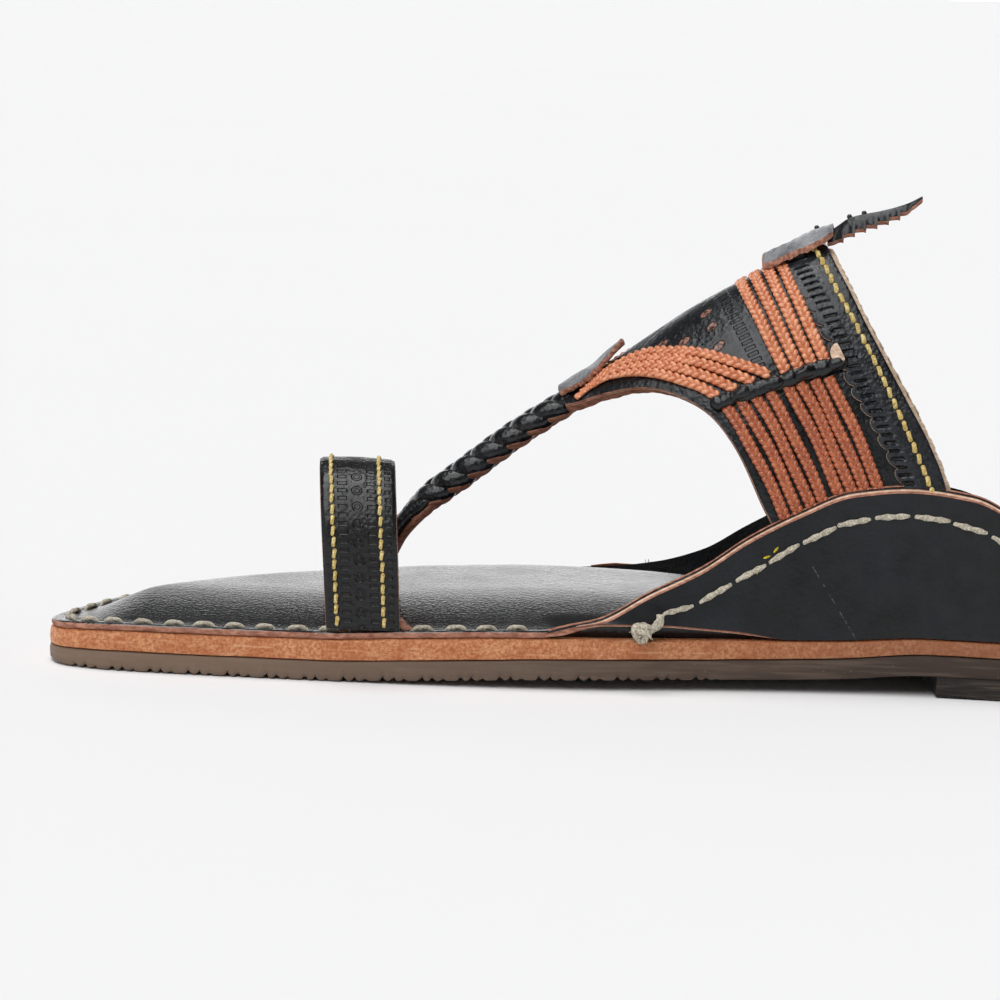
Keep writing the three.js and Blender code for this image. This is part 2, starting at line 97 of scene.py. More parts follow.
def unit(v):
    return v / np.maximum(np.linalg.norm(v, axis=-1, keepdims=True), 1e-9)


def window(x, rise_from, rise_to, fall_from, fall_to):
    """1 between two soft flanks, 0 outside them."""
    return smoothstep(x, rise_from, rise_to) * (1 - smoothstep(x, fall_from, fall_to))


def hill(x, centre, reach):
    """A bell curve: 1 at its centre, about a third of that at its reach."""
    return np.exp(-((x - centre) / reach) ** 2)


def eased(count):
    """Numbers from 0 to 1 that crowd together at both ends."""
    return 0.5 - 0.5 * np.cos(np.pi * np.linspace(0, 1, count))


def walked(path):
    """Distance along a path at each of its points."""
    return np.concatenate([[0], np.cumsum(np.linalg.norm(np.diff(path, axis=0), axis=1))])


def points(t, y, z):
    """Points at stations t, from numbers or from grids that fit together."""
    return np.stack(np.broadcast_arrays(t - LENGTH / 2, y, z), axis=-1)


def trace(s, walk, values):
    """The rows of values at distances s, where values are known at the distances walk."""
    return np.stack([np.interp(s, walk, line) for line in values.T], axis=-1)


OUTLINE = table(
    "t medial lateral",
    (0, -35, -35), (3, -43.5, -26), (10, -47.2, -10.5), (18, -48.6, 2.5), (30, -49.3, 17),
    (45, -49.5, 31.5), (65, -49.5, 43), (90, -49, 48), (118, -46.5, 47), (150, -39.5, 42),
    (185, -35.5, 34.5), (225, -36.5, 29.5), (255, -32, 24.5), (270, -20, 12.5),
    (275, -3.5, -3.5))
STACK = table(
    "t bottom rubber tan",
    (0, 0.4, 3.3, 3.7), (8, 0.1, 3.9, 4.2), (20, 0, 4.2, 4.4), (60, 0, 4.3, 4.6),
    (80, 0.7, 4.4, 4.8), (110, 1.9, 4.5, 4.5), (150, 2.5, 4.4, 4.1), (172, 3.1, 4.5, 3.8),
    (192, 4.5, 4.6, 3.4), (275, 4.5, 4.6, 3.2))
FLAP_TOP = table(
    "t medial lateral",
    (113, 13.6, 13.4), (120, 15.2, 14.0), (131, 21.2, 15.8), (142, 26.6, 19.6),
    (152, 33.4, 26.0), (163, 39.2, 32.4), (174, 43.8, 37.0), (187, 45.2, 39.6),
    (200, 43.9, 38.0), (212, 38.0, 33.0), (226, 28.0, 25.0), (238, 18.6, 17.6),
    (244, 15.2, 15.2))
INSTEP = table(
    "t ridge centre medial lateral",
    (100, 54.5, -8.5, 22.0, 22.0), (108, 59.5, -7.5, 23.5, 23.5), (116, 64.5, -6.5, 25.0, 25.0),
    (123, 70.0, -6.0, 26.5, 27.0), (131, 76.0, -5.5, 28.0, 29.0), (139, 81.3, -5.0, 29.5, 31.5),
    (146, 85.5, -4.5, 30.2, 33.5), (153, 89.5, -4.0, 30.0, 35.5), (167, 95.2, -3.0, 28.8, 35.5),
    (180, 98.6, -2.5, 28.2, 32.8), (201, 100, -2.0, 28.4, 29.3))
STRAP_EDGES = table(
    "fold frontT frontAngle rearT rearAngle",
    (0, 109.4, 0, 166.8, 0), (1, 110.0, 17, 168.0, 10), (2, 118.5, 27.0, 169.5, 19),
    (3, 127.0, 34.9, 172.5, 29), (4, 134.4, 42.6, 176.0, 38), (5, 141.6, 50.6, 180.5, 46.5),
    (6, 148.9, 60.3, 186.0, 55), (7, 154.5, 69.5, 191.0, 62), (8, 158.5, 76, 195.0, 69),
    (9, 163.0, 90, 201.0, 90))
PLAIT = table(
    "i t y z width depth",
    (0, 70.4, -10.6, 15.3, 8.4, 5.0), (1, 70.8, -10.6, 20.0, 8.4, 5.0),
    (2, 73.2, -10.6, 26.6, 8.6, 5.6), (3, 78.6, -10.4, 33.4, 9.0, 6.2),
    (4, 88.0, -9.8, 41.0, 9.4, 6.4), (5, 99.5, -8.8, 50.2, 10.0, 6.2),
    (6, 110.5, -7.4, 57.8, 11.0, 5.6), (7, 117.0, -6.6, 62.4, 12.0, 3.4))
FRONT_LEAF = table(
    "t lift halfAngle",
    (107.2, 0.0, 4), (110, 0.1, 12), (115, 0.2, 14), (120, 0.6, 9), (124, 1.0, 2))
TOP_LEAF = table(
    "t y z halfWidth drop",
    (151.5, -4.1, 90.6, 3.0, 0.1), (154, -3.9, 92.0, 6.2, 0.6), (160, -3.5, 95.2, 7.6, 0.9),
    (165, -3.2, 97.6, 7.2, 0.7), (167, -3.1, 98.4, 5.8, 0.4), (168.4, -3.0, 98.9, 3.5, 0.2),
    (175, -3.0, 101.6, 3.0, 0.1))
LEAF_TAIL = table(
    "t z halfWidth tilt",
    (166.6, 96.9, 1.5, 0.9), (168, 97.6, 1.8, 0.9), (171, 99.7, 1.85, 0.95),
    (174, 100.9, 1.6, 0.95), (178, 102.1, 1.25, 0.95), (181.5, 103.4, 0.95, 0.95),
    (184, 104.5, 0.8, 0.9), (187, 106.5, 0.4, 0.8))

stack_bottom = column(STACK, "bottom")
rubber_thickness = column(STACK, "rubber")
tan_thickness = column(STACK, "tan")
INSOLE_THICKNESS = 1.5
INSOLE_CROWN = 3.8


def rubber_top(t):
    return stack_bottom(t) + rubber_thickness(t)


def tan_top(t):
    return rubber_top(t) + tan_thickness(t)


def insole_edge_top(t):
    return tan_top(t) + INSOLE_THICKNESS


class Outline:
    """The sole's outline as a closed centripetal spline, walked toe, medial, heel, lateral."""

    def __init__(self, per_segment=60):
        x = OUTLINE["t"] - LENGTH / 2
        medial = np.column_stack([x, OUTLINE["medial"]])
        lateral = np.column_stack([x, OUTLINE["lateral"]])[1:-1][::-1]
        knots = np.concatenate([medial, lateral])
        f = np.linspace(0, 1, per_segment, endpoint=False)[:, None]
        pieces = []
        for i in range(len(knots)):
            p0, p1, p2, p3 = (knots[(i + k) % len(knots)] for k in (-1, 0, 1, 2))
            d0, d1, d2 = (math.sqrt(math.dist(a, b)) for a, b in ((p0, p1), (p1, p2), (p2, p3)))
            m1 = ((p1 - p0) / d0 - (p2 - p0) / (d0 + d1) + (p2 - p1) / d1) * d1
            m2 = ((p2 - p1) / d1 - (p3 - p1) / (d1 + d2) + (p3 - p2) / d2) * d1
            pieces.append((2 * f**3 - 3 * f**2 + 1) * p1 + (f**3 - 2 * f**2 + f) * m1
                          + (-2 * f**3 + 3 * f**2) * p2 + (f**3 - f**2) * m2)
        dense = np.concatenate(pieces)
        closed = np.concatenate([dense, dense[:1]])
        self.walk = walked(closed)
        self.closed = closed
        self.total = self.walk[-1]
        heel = len(dense) // 2
        self.heel_walk = self.walk[heel]
        self.medial = (closed[:heel + 1, 0] + LENGTH / 2, closed[:heel + 1, 1])
        self.lateral = (closed[heel:, 0][::-1] + LENGTH / 2, closed[heel:, 1][::-1])

    def at(self, walk):
        """Point and inward direction at distances along the outline."""
        walk = np.mod(walk, self.total)
        point = trace(walk, self.walk, self.closed)
        step = 0.6
        ahead, behind = np.mod(walk + step, self.total), np.mod(walk - step, self.total)
        tangent = unit(trace(ahead, self.walk, self.closed) - trace(behind, self.walk, self.closed))
        return point, np.column_stack([-tangent[:, 1], tangent[:, 0]])

    def edge(self, side, t):
        ts, ys = getattr(self, side)
        return np.interp(t, ts, ys)

    def walk_at(self, side, t):
        """Distance along the outline of station t on one side."""
        half = len(self.medial[0])
        if side == "medial":
            return float(np.interp(t, self.medial[0], self.walk[:half]))
        return float(np.interp(t, self.lateral[0], self.walk[half - 1:][::-1]))


outline = Outline()
ridge_height = column(INSTEP, "ridge")
ridge_centre = column(INSTEP, "centre")
medial_reach = column(INSTEP, "medial")
lateral_reach = column(INSTEP, "lateral")


def _instep(t, angle):
    bend = np.radians(angle)
    reach = np.where(angle < 0, medial_reach(t), lateral_reach(t))
    base = insole_edge_top(t) + 2 * GAP
    return points(t, ridge_centre(t) + reach * np.sin(bend),
                  base + (ridge_height(t) - base) * np.cos(bend))


def instep_frame(t, angle):
    """Point, outward normal and toe-to-heel direction on the last's instep surface."""
    t, angle = np.broadcast_arrays(np.asarray(t, float), np.asarray(angle, float))
    step = 0.25
    along = unit(_instep(t + step, angle) - _instep(t - step, angle))
    around = _instep(t, angle + step) - _instep(t, angle - step)
    return _instep(t, angle), unit(np.cross(along, around)), along


def instep_point(t, angle, lift=0.0):
    point, normal, _ = instep_frame(t, angle)
    return point + normal * np.asarray(lift, float)[..., None]


def instep_arc(t, angle):
    """Distance round the section from the ridge, negative on the medial side."""
    t, angle = np.broadcast_arrays(np.asarray(t, float), np.asarray(angle, float))
    parts = np.linspace(0, 1, 25).reshape((25,) + (1,) * t.ndim)
    path = _instep(t + 0 * parts, parts * angle)
    return np.sign(angle) * np.linalg.norm(np.diff(path, axis=0), axis=-1).sum(axis=0)


# ---------------------------------------------------------------- materials

def tone(code):
    """Linear colour from a six-digit sRGB code."""
    parts = [int(code[i:i + 2], 16) / 255 for i in (0, 2, 4)]
    return tuple(p / 12.92 if p <= 0.04045 else ((p + 0.055) / 1.055) ** 2.4 for p in parts) + (1.0,)


class Look:
    """A node material with short names for the nodes that the sandal's finishes share."""

    def __init__(self, name, roughness=0.5, specular=0.5):
        self.material = bpy.data.materials.new(name)
        self.material.use_nodes = True
        self.tree = self.material.node_tree
        self.shader = self.tree.nodes["Principled BSDF"]
        self.shader.inputs["Roughness"].default_value = roughness
        self.shader.inputs["Specular IOR Level"].default_value = specular
        self.place = self.node("ShaderNodeTexCoord").outputs["Object"]

    def node(self, kind, values=None, **settings):
        node = self.tree.nodes.new(kind)
        for key, value in settings.items():
            setattr(node, key, value)
        for key, value in (values or {}).items():
            self.feed(node.inputs[key], value)
        return node

    def feed(self, socket, value):
        if isinstance(value, bpy.types.NodeSocket):
            self.tree.links.new(value, socket)
        else:
            socket.default_value = value

    def attribute(self, name):
        node = self.node("ShaderNodeAttribute", attribute_name=name)
        return self.node("ShaderNodeSeparateXYZ", {0: node.outputs["Vector"]}).outputs

    def stretched(self, x=1.0, y=1.0, z=1.0):
        return self.node("ShaderNodeMapping", {"Vector": self.place, "Scale": (x, y, z)}).outputs[0]

    def noise(self, scale, detail=4.0, roughness=0.55, vector=None):
        values = {"Vector": vector or self.place, "Scale": scale, "Detail": detail,
                  "Roughness": roughness}
        return self.node("ShaderNodeTexNoise", values).outputs[0]

    def cells(self, scale):
        values = {"Vector": self.place, "Scale": scale}
        return self.node("ShaderNodeTexVoronoi", values).outputs[0]

    def math(self, operation, a, b=0.0):
        return self.node("ShaderNodeMath", {0: a, 1: b}, operation=operation).outputs[0]

    def times(self, a, b):
        return self.math("MULTIPLY", a, b)

    def minus(self, a, b):
        return self.math("SUBTRACT", a, b)

    def most(self, a, b):
        return self.math("MAXIMUM", a, b)

    def away(self, x, y):
        """Distance from zero of a point (x, y)."""
        squared = self.math("ADD", self.times(x, x), self.times(y, y))
        return self.math("SQRT", squared)

    def spot(self):
        """The point's own x, y and z, in metres."""
        return self.node("ShaderNodeSeparateXYZ", {0: self.place}).outputs

    def ramp(self, value, low, high, to_low=0.0, to_high=1.0):
        values = {"Value": value, "From Min": low, "From Max": high,
                  "To Min": to_low, "To Max": to_high}
        return self.node("ShaderNodeMapRange", values, interpolation_type="SMOOTHSTEP").outputs[0]

    def window(self, value, rise_from, rise_to, fall_from, fall_to):
        """1 between two soft flanks, 0 outside them."""
        return self.times(self.ramp(value, rise_from, rise_to),
                          self.ramp(value, fall_from, fall_to, 1.0, 0.0))

    def mix(self, factor, a, b):
        values = {0: factor, 6: a, 7: b}
        return self.node("ShaderNodeMix", values, data_type="RGBA").outputs[2]

    def stain(self, colour, mask, share, code):
        """Colour with a share of a tone laid over it where mask is 1."""
        return self.mix(self.times(mask, share), colour, tone(code))

    def bump(self, height, distance, strength=1.0, under=None):
        values = {"Height": height, "Distance": distance, "Strength": strength}
        if under is not None:
            values["Normal"] = under
        return self.node("ShaderNodeBump", values).outputs[0]

    def finish(self, colour=None, roughness=None, normal=None):
        for key, value in (("Base Color", colour), ("Roughness", roughness), ("Normal", normal)):
            if value is not None:
                self.feed(self.shader.inputs[key], value)
        return self.material


def grain(look, depth):
    """Leather grain: soft pebbles, fine pores and slow undulation, as one normal."""
    slow = look.bump(look.noise(110, 3), 0.0006 * depth, 0.7)
    pebbles = look.bump(look.cells(1000), 0.00009 * depth, 0.8, slow)
    return look.bump(look.noise(2200, 3), 0.00005 * depth, 0.8, pebbles)


def black_leather(name, roughness=0.36, depth=1.0, dark="07090c", light="0f1319", specular=0.45):
    """The shared black leather: its look, colour, roughness and normal, for more to be added."""
    look = Look(name, specular=specular)
    mottle = look.ramp(look.noise(70, 5, 0.6), 0.35, 0.7)
    colour = look.mix(mottle, tone(dark), tone(light))
    scuff = look.ramp(look.noise(320, 6, 0.7), 0.62, 0.78)
    colour = look.stain(colour, scuff, 0.12, "55565a")
    rough = look.ramp(look.noise(240, 4), 0.3, 0.7, roughness - 0.07, roughness + 0.1)
    return look, colour, rough, grain(look, depth)


def plain_black(name, **options):
    look, colour, rough, normal = black_leather(name, **options)
    return look.finish(colour, rough, normal)


def slits(look, across, along, inner, outer, pitch, fill=0.42):
    """Pressed bars: 1 inside a bar that spans inner to outer across the column."""
    span = look.window(across, inner, inner + 0.25, outer - 0.25, outer)
    beat = look.math("PINGPONG", along, pitch / 2)
    bar = look.ramp(beat, fill * pitch / 2, fill * pitch / 2 + 0.22, 1.0, 0.0)
    return look.times(span, bar)


def spots(look, x, y, places, radius):
    """Round holes at (x, y) places: 1 inside."""
    inside = 0.0
    for px, py in places:
        away = look.away(look.minus(x, px), look.minus(y, py))
        inside = look.most(look.ramp(away, radius - 0.15, radius + 0.15, 1.0, 0.0), inside)
    return inside


def cut_edge(name, dark, light, streak=1.0):
    """The fibrous side of cut leather."""
    look = Look(name, roughness=0.72, specular=0.35)
    fibres = look.noise(1500, 5, 0.7, look.stretched(0.35, 0.35, streak))
    blotches = look.ramp(look.noise(260, 4, 0.65), 0.36, 0.66)
    colour = look.mix(look.ramp(fibres, 0.3, 0.72), tone(dark), tone(light))
    colour = look.stain(colour, blotches, 0.45, dark)
    return look.finish(colour, None, look.bump(fibres, 0.00018, 0.9))


def tan_leather():
    """Speckled tan leather, layered along its edge, with painted shade that browns it toward the
    heel.
    """
    look = Look("tan_leather", roughness=0.62, specular=0.4)
    speckle = look.noise(1400, 5, 0.75)
    blotch = look.noise(190, 4, 0.6)
    layer = look.noise(520, 4, 0.6, look.stretched(0.25, 0.25, 2.2))
    colour = look.mix(look.ramp(speckle, 0.34, 0.7), tone("ac6037"), tone("e6a878"))
    colour = look.stain(colour, look.ramp(blotch, 0.42, 0.7), 0.6, "ab5a2d")
    colour = look.stain(colour, look.ramp(layer, 0.55, 0.75), 0.5, "f2c499")
    # Painted shade: the leather darkens toward the heel, by its place along the sole.
    colour = look.stain(colour, look.ramp(look.spot()[0], -0.05, 0.09), 0.72, "74462f")
    rough = look.bump(blotch, 0.0006, 0.7)
    return look.finish(colour, None, look.bump(speckle, 0.00022, 0.9, rough))


def rubber(name, toe, heel):
    """Taupe rubber with painted shade that darkens it from the toe to the heel, and fine moulding
    lines.
    """
    look = Look(name, roughness=0.7, specular=0.35)
    # Painted shade: the colour runs from the toe tone to the darker heel tone along the sole.
    base = look.mix(look.ramp(look.spot()[0], -0.11, 0.06), tone(toe), tone(heel))
    lines = look.noise(900, 4, 0.6, look.stretched(0.08, 0.08, 1.3))
    dust = look.noise(700, 5, 0.7)
    colour = look.stain(base, look.ramp(lines, 0.4, 0.7), 0.2, "93806f")
    colour = look.stain(colour, look.ramp(dust, 0.62, 0.75), 0.25, "a89a8a")
    under = look.bump(lines, 0.00015, 0.8)
    return look.finish(colour, None, look.bump(dust, 0.00012, 0.8, under))


def lace_leather(name, dark, light):
    """The waxed orange leather of the cords."""
    look = Look(name, roughness=0.36, specular=0.85)
    mottle = look.noise(700, 3, 0.5)
    slow = look.noise(160, 3, 0.5)
    colour = look.mix(look.ramp(mottle, 0.35, 0.7), tone(dark), tone(light))
    colour = look.stain(colour, look.ramp(slow, 0.45, 0.7), 0.5, dark)
    rough = look.ramp(mottle, 0.3, 0.7, 0.28, 0.42)
    return look.finish(colour, rough, look.bump(mottle, 0.00006, 0.6))


def thread(name, dark, light, roughness=0.75):
    """Twisted thread: fine fibres under a slow stain."""
    look = Look(name, roughness=roughness, specular=0.3)
    fibres = look.noise(2200, 4, 0.7)
    stain = look.ramp(look.noise(300, 3), 0.4, 0.65)
    colour = look.mix(look.ramp(fibres, 0.35, 0.68), tone(dark), tone(light))
    colour = look.stain(colour, stain, 0.3, dark)
    return look.finish(colour, None, look.bump(fibres, 0.00012, 0.8))


def instep_leather():
    """The strap's black face: a column of pressed slits darkened as painted shade, a painted sheen
    round them, and a few punched holes.
    """
    look, colour, rough, normal = black_leather("instep_leather", roughness=0.28, depth=1.3,
                                                light="15191f")
    t, arc, behind = look.attribute("plan")
    side = look.math("ABSOLUTE", arc)
    pressed = slits(look, behind, side, -4.5, -2.1, 1.75)
    pressed = look.times(pressed, look.window(side, 3.0, 3.4, 34.5, 35.0))
    holes = spots(look, t, side, [(131.0, 10.2), (135.8, 13.6), (140.3, 8.4), (141.8, 13.8),
                                  (143.5, 20.2)], 1.2)
    sunk = look.math("ADD", pressed, look.times(holes, 1.6))
    # Painted sheen: a lighter band over the column of slits stands in for the gloss between them.
    painted_sheen = look.window(behind, -5.6, -4.9, -1.9, -1.2)
    colour = look.stain(colour, painted_sheen, 0.4, "34373d")
    # Painted shade: the pressed slits are darkened.
    colour = look.mix(pressed, colour, tone("040405"))
    fleck = look.ramp(look.noise(1300, 3), 0.4, 0.6)
    colour = look.mix(holes, colour, look.mix(fleck, tone("2a1812"), tone("96695a")))
    normal = look.bump(look.times(sunk, -1.0), 0.0005, 1.0, normal)
    return look.finish(colour, rough, normal)


def flap_leather():
    """Smooth black leather with one fine scratch on the medial flap."""
    look, colour, rough, normal = black_leather("flap_leather", roughness=0.4, depth=0.45,
                                                light="12161c")
    x, y, z = look.spot()
    down = look.minus(0.0286, z)
    over = look.minus(look.minus(x, 0.0275), look.times(down, 0.66))
    line = look.ramp(look.math("ABSOLUTE", over), 0.00006, 0.0002, 1.0, 0.0)
    line = look.times(line, look.window(down, 0.0, 0.001, 0.0155, 0.0165))
    line = look.times(line, look.ramp(y, -0.02, -0.01, 1.0, 0.0))
    broken = look.ramp(look.noise(1100, 3), 0.46, 0.6)
    colour = look.stain(colour, look.times(line, broken), 0.5, "6c7278")
    return look.finish(colour, rough, normal)


def border_leather():
    """The rear border's black face, with a painted sheen over its front part, darker inside the slits
    that its mesh carries as painted shade.
    """
    look, colour, rough, normal = black_leather("border_leather", roughness=0.28, depth=1.8,
                                                light="15191f")
    pressed, _, off = look.attribute("plan")
    # Painted sheen: a lighter tone over the slits and the front part, up to the stitches.
    colour = look.mix(look.ramp(off, 2.2, 3.4, 0.5, 0.0), colour, tone("2e3137"))
    # Painted shade: the pressed slits are darkened.
    colour = look.mix(pressed, colour, tone("040405"))
    return look.finish(colour, rough, normal)


RING_STITCH_LINES = (0.15, 0.79)
RING_PLAN_WIDTH = 15.6


def ring_leather():
    """The toe ring's face: tooled bars beside the stitch lines and a row of stamps, darkened as
    painted shade in their hollows.
    """
    look, colour, rough, normal = black_leather("ring_leather", roughness=0.3, depth=1.6,
                                                dark="050608", light="0b0e12")
    along, across, _ = look.attribute("plan")
    tooled = 0.0
    for inner, outer in ((3.5, 5.6), (9.6, 11.6), (13.3, 14.6)):
        tooled = look.most(slits(look, across, along, inner, outer, 1.9, 0.3), tooled)
    radius = look.away(look.math("PINGPONG", along, 1.9), look.minus(across, 7.6))
    tooled = look.most(tooled, look.window(radius, 0.5, 0.7, 0.95, 1.2))
    # Painted shade: the tooled bars and stamps are darkened.
    colour = look.mix(tooled, colour, tone("040405"))
    normal = look.bump(look.times(tooled, -1.0), 0.0006, 1.0, normal)
    return look.finish(colour, rough, normal)


def insole_leather():
    """The footbed's smooth glossy leather, finely creased along its length."""
    look, colour, _, _ = black_leather("insole_leather", dark="06080b", light="0c0e12", specular=0.9)
    creases = look.noise(900, 4, 0.65, look.stretched(0.45, 1.0, 1.0))
    slow = look.bump(look.noise(45, 2), 0.0003, 0.4)
    pebbles = look.bump(look.cells(1300), 0.00009, 0.8, slow)
    normal = look.bump(creases, 0.00007, 0.7, pebbles)
    rough = look.ramp(look.noise(40, 3), 0.3, 0.7, 0.2, 0.26)
    return look.finish(colour, rough, normal)


def bead_glass():
    """Near-black glass with a slight mottle."""
    look = Look("bead_glass", roughness=0.15, specular=0.6)
    tint = look.mix(look.ramp(look.noise(900, 2), 0.4, 0.6), tone("0a0a0b"), tone("1c1c20"))
    return look.finish(tint, None, look.bump(look.noise(1500, 2), 0.00005, 0.5))


MAT = {
    "insole": insole_leather(),
    "instep": instep_leather(),
    "border": border_leather(),
    "ring": ring_leather(),
    "flap": flap_leather(),
    "black": plain_black("black_leather", roughness=0.3),
    "plait": plain_black("plait_leather", roughness=0.24, depth=1.5),
    "grey": plain_black("leaf_leather", roughness=0.34, depth=3.5, dark="55565a", light="a3a4a8"),
    "brown_edge": cut_edge("brown_edge", "80503e", "cd967e"),
    "cream_edge": cut_edge("cream_edge", "c39b80", "f3dcc6"),
    "flesh": cut_edge("flesh_leather", "69402f", "a8765f"),
    "hem": cut_edge("hem_edge", "b0947a", "efdcc2"),
    "lining": cut_edge("lining_leather", "8a6450", "c9a58a"),
    "tan": tan_leather(),
    "rubber": rubber("sole_rubber", "786455", "3e322b"),
    "heel": rubber("heel_rubber", "2a221f", "1e1917"),
    "cord": lace_leather("cord_leather", "c87145", "e89f74"),
    # A darker copy of the cord leather for the leg cords lower on the strap: painted shade.
    "cord_shaded": lace_leather("cord_leather_painted_shade", "a04c26", "bc673b"),
    "thread": thread("waxed_thread", "968d7b", "e0d8c7"),
    "gold": thread("gold_thread", "b8933a", "fbedb0", roughness=0.35),
    "fleck": thread("yellow_fibre", "b39a1e", "e6d23c"),
    "bead": bead_glass(),
}


# ---------------------------------------------------------------- mesh helpers

def add_piece(name, verts, faces, mats, slot, replaces=(), mat_of=None, plan=None, sharp=42):
    """Makes one closed, smooth-shaded piece from millimetre points and rides it on the body."""
    mesh = bpy.data.meshes.new(name)
    mesh.from_pydata((np.asarray(verts) * MM).tolist(), [], [list(map(int, f)) for f in faces])
    for key in mats:
        mesh.materials.append(MAT[key])
    if mat_of is not None:
        mesh.polygons.foreach_set("material_index", np.asarray(mat_of, dtype=np.int32))
    if plan is not None:
        layer = mesh.attributes.new("plan", "FLOAT_VECTOR", "POINT")
        layer.data.foreach_set("vector", np.asarray(plan, dtype=np.float32).ravel())
    made = bmesh.new()
    made.from_mesh(mesh)
    bmesh.ops.remove_doubles(made, verts=made.verts, dist=WELD)
    bmesh.ops.recalc_face_normals(made, faces=made.faces)
    made.to_mesh(mesh)
    made.free()
    mesh.shade_smooth()
    mesh.set_sharp_from_angle(angle=math.radians(sharp))
    piece = bpy.data.objects.new(name, mesh)
    bpy.context.scene.collection.objects.link(piece)
    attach(piece, "root")
    if replaces:
        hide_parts(*replaces)
    return piece


def grid_faces(rows, cols, wrap=False):
    """Quads of a grid of points listed row by row; wrap joins the last column to the first."""
    i, j = np.meshgrid(np.arange(rows - 1), np.arange(cols if wrap else cols - 1), indexing="ij")
    i, j = i.ravel(), j.ravel()
    k = (j + 1) % cols
    near, far = i * cols, (i + 1) * cols
    return np.column_stack([near + j, near + k, far + k, far + j])


def tube_faces(rows, cols):
    """The faces of a tube's rings of points, with a cap at each end."""
    ends = [list(range(cols))[::-1], list(range((rows - 1) * cols, rows * cols))]
    return grid_faces(rows, cols, wrap=True).tolist() + ends


def leather(face):
    """The usual materials of a sheet: its face, flesh behind, brown cut edges."""
    return [face, "flesh", "brown_edge", "brown_edge"]


def sheet(name, face, back, mats, plan=None, bulge=0.12, replaces=(), rear=None, first=None):
    """Leather between two grids. mats are its face, its back and the cut edge's two bands.

    rear and first are the cut edge's materials along the last and first column, where they differ.
    """
    rows, cols = face.shape[:2]
    index = np.arange(rows * cols).reshape(rows, cols)
    loop = np.concatenate([index[0, :-1], index[:-1, -1], index[-1, :0:-1], index[:0:-1, 0]])
    i, j = np.divmod(loop, cols)
    inside = np.clip(i, 1, rows - 2) * cols + np.clip(j, 1, cols - 2)
    flat_face, flat_back = face.reshape(-1, 3), back.reshape(-1, 3)
    out = unit(flat_face[loop] - flat_face[inside])
    middle = (flat_face[loop] + flat_back[loop]) / 2 + out * bulge
    count = rows * cols
    verts = np.concatenate([flat_face, flat_back, middle])
    edge = np.arange(len(loop))
    ahead = np.roll(edge, -1)
    rim = np.concatenate([
        np.column_stack([loop, loop[ahead], 2 * count + ahead, 2 * count + edge]),
        np.column_stack([2 * count + edge, 2 * count + ahead, loop[ahead] + count, loop + count])])
    quads = grid_faces(rows, cols)
    faces = np.concatenate([quads, quads[:, ::-1] + count, rim])
    half = len(loop)
    mat_of = np.repeat([0, 1, 2, 3], [len(quads), len(quads), half, half])
    on_last = (edge >= cols - 1) & (edge < cols - 1 + rows - 1)
    on_first = edge >= 2 * (cols - 1) + rows - 1
    for other, where in ((rear, on_last), (first, on_first)):
        if other is not None:
            mats = mats + [other]
            mat_of[2 * len(quads):][np.tile(where, 2)] = len(mats) - 1
    if plan is not None:
        flat = plan.reshape(-1, 3)
        plan = np.concatenate([flat, flat, flat[loop]])
    return add_piece(name, verts, faces, mats, "black_leather", replaces, mat_of, plan)


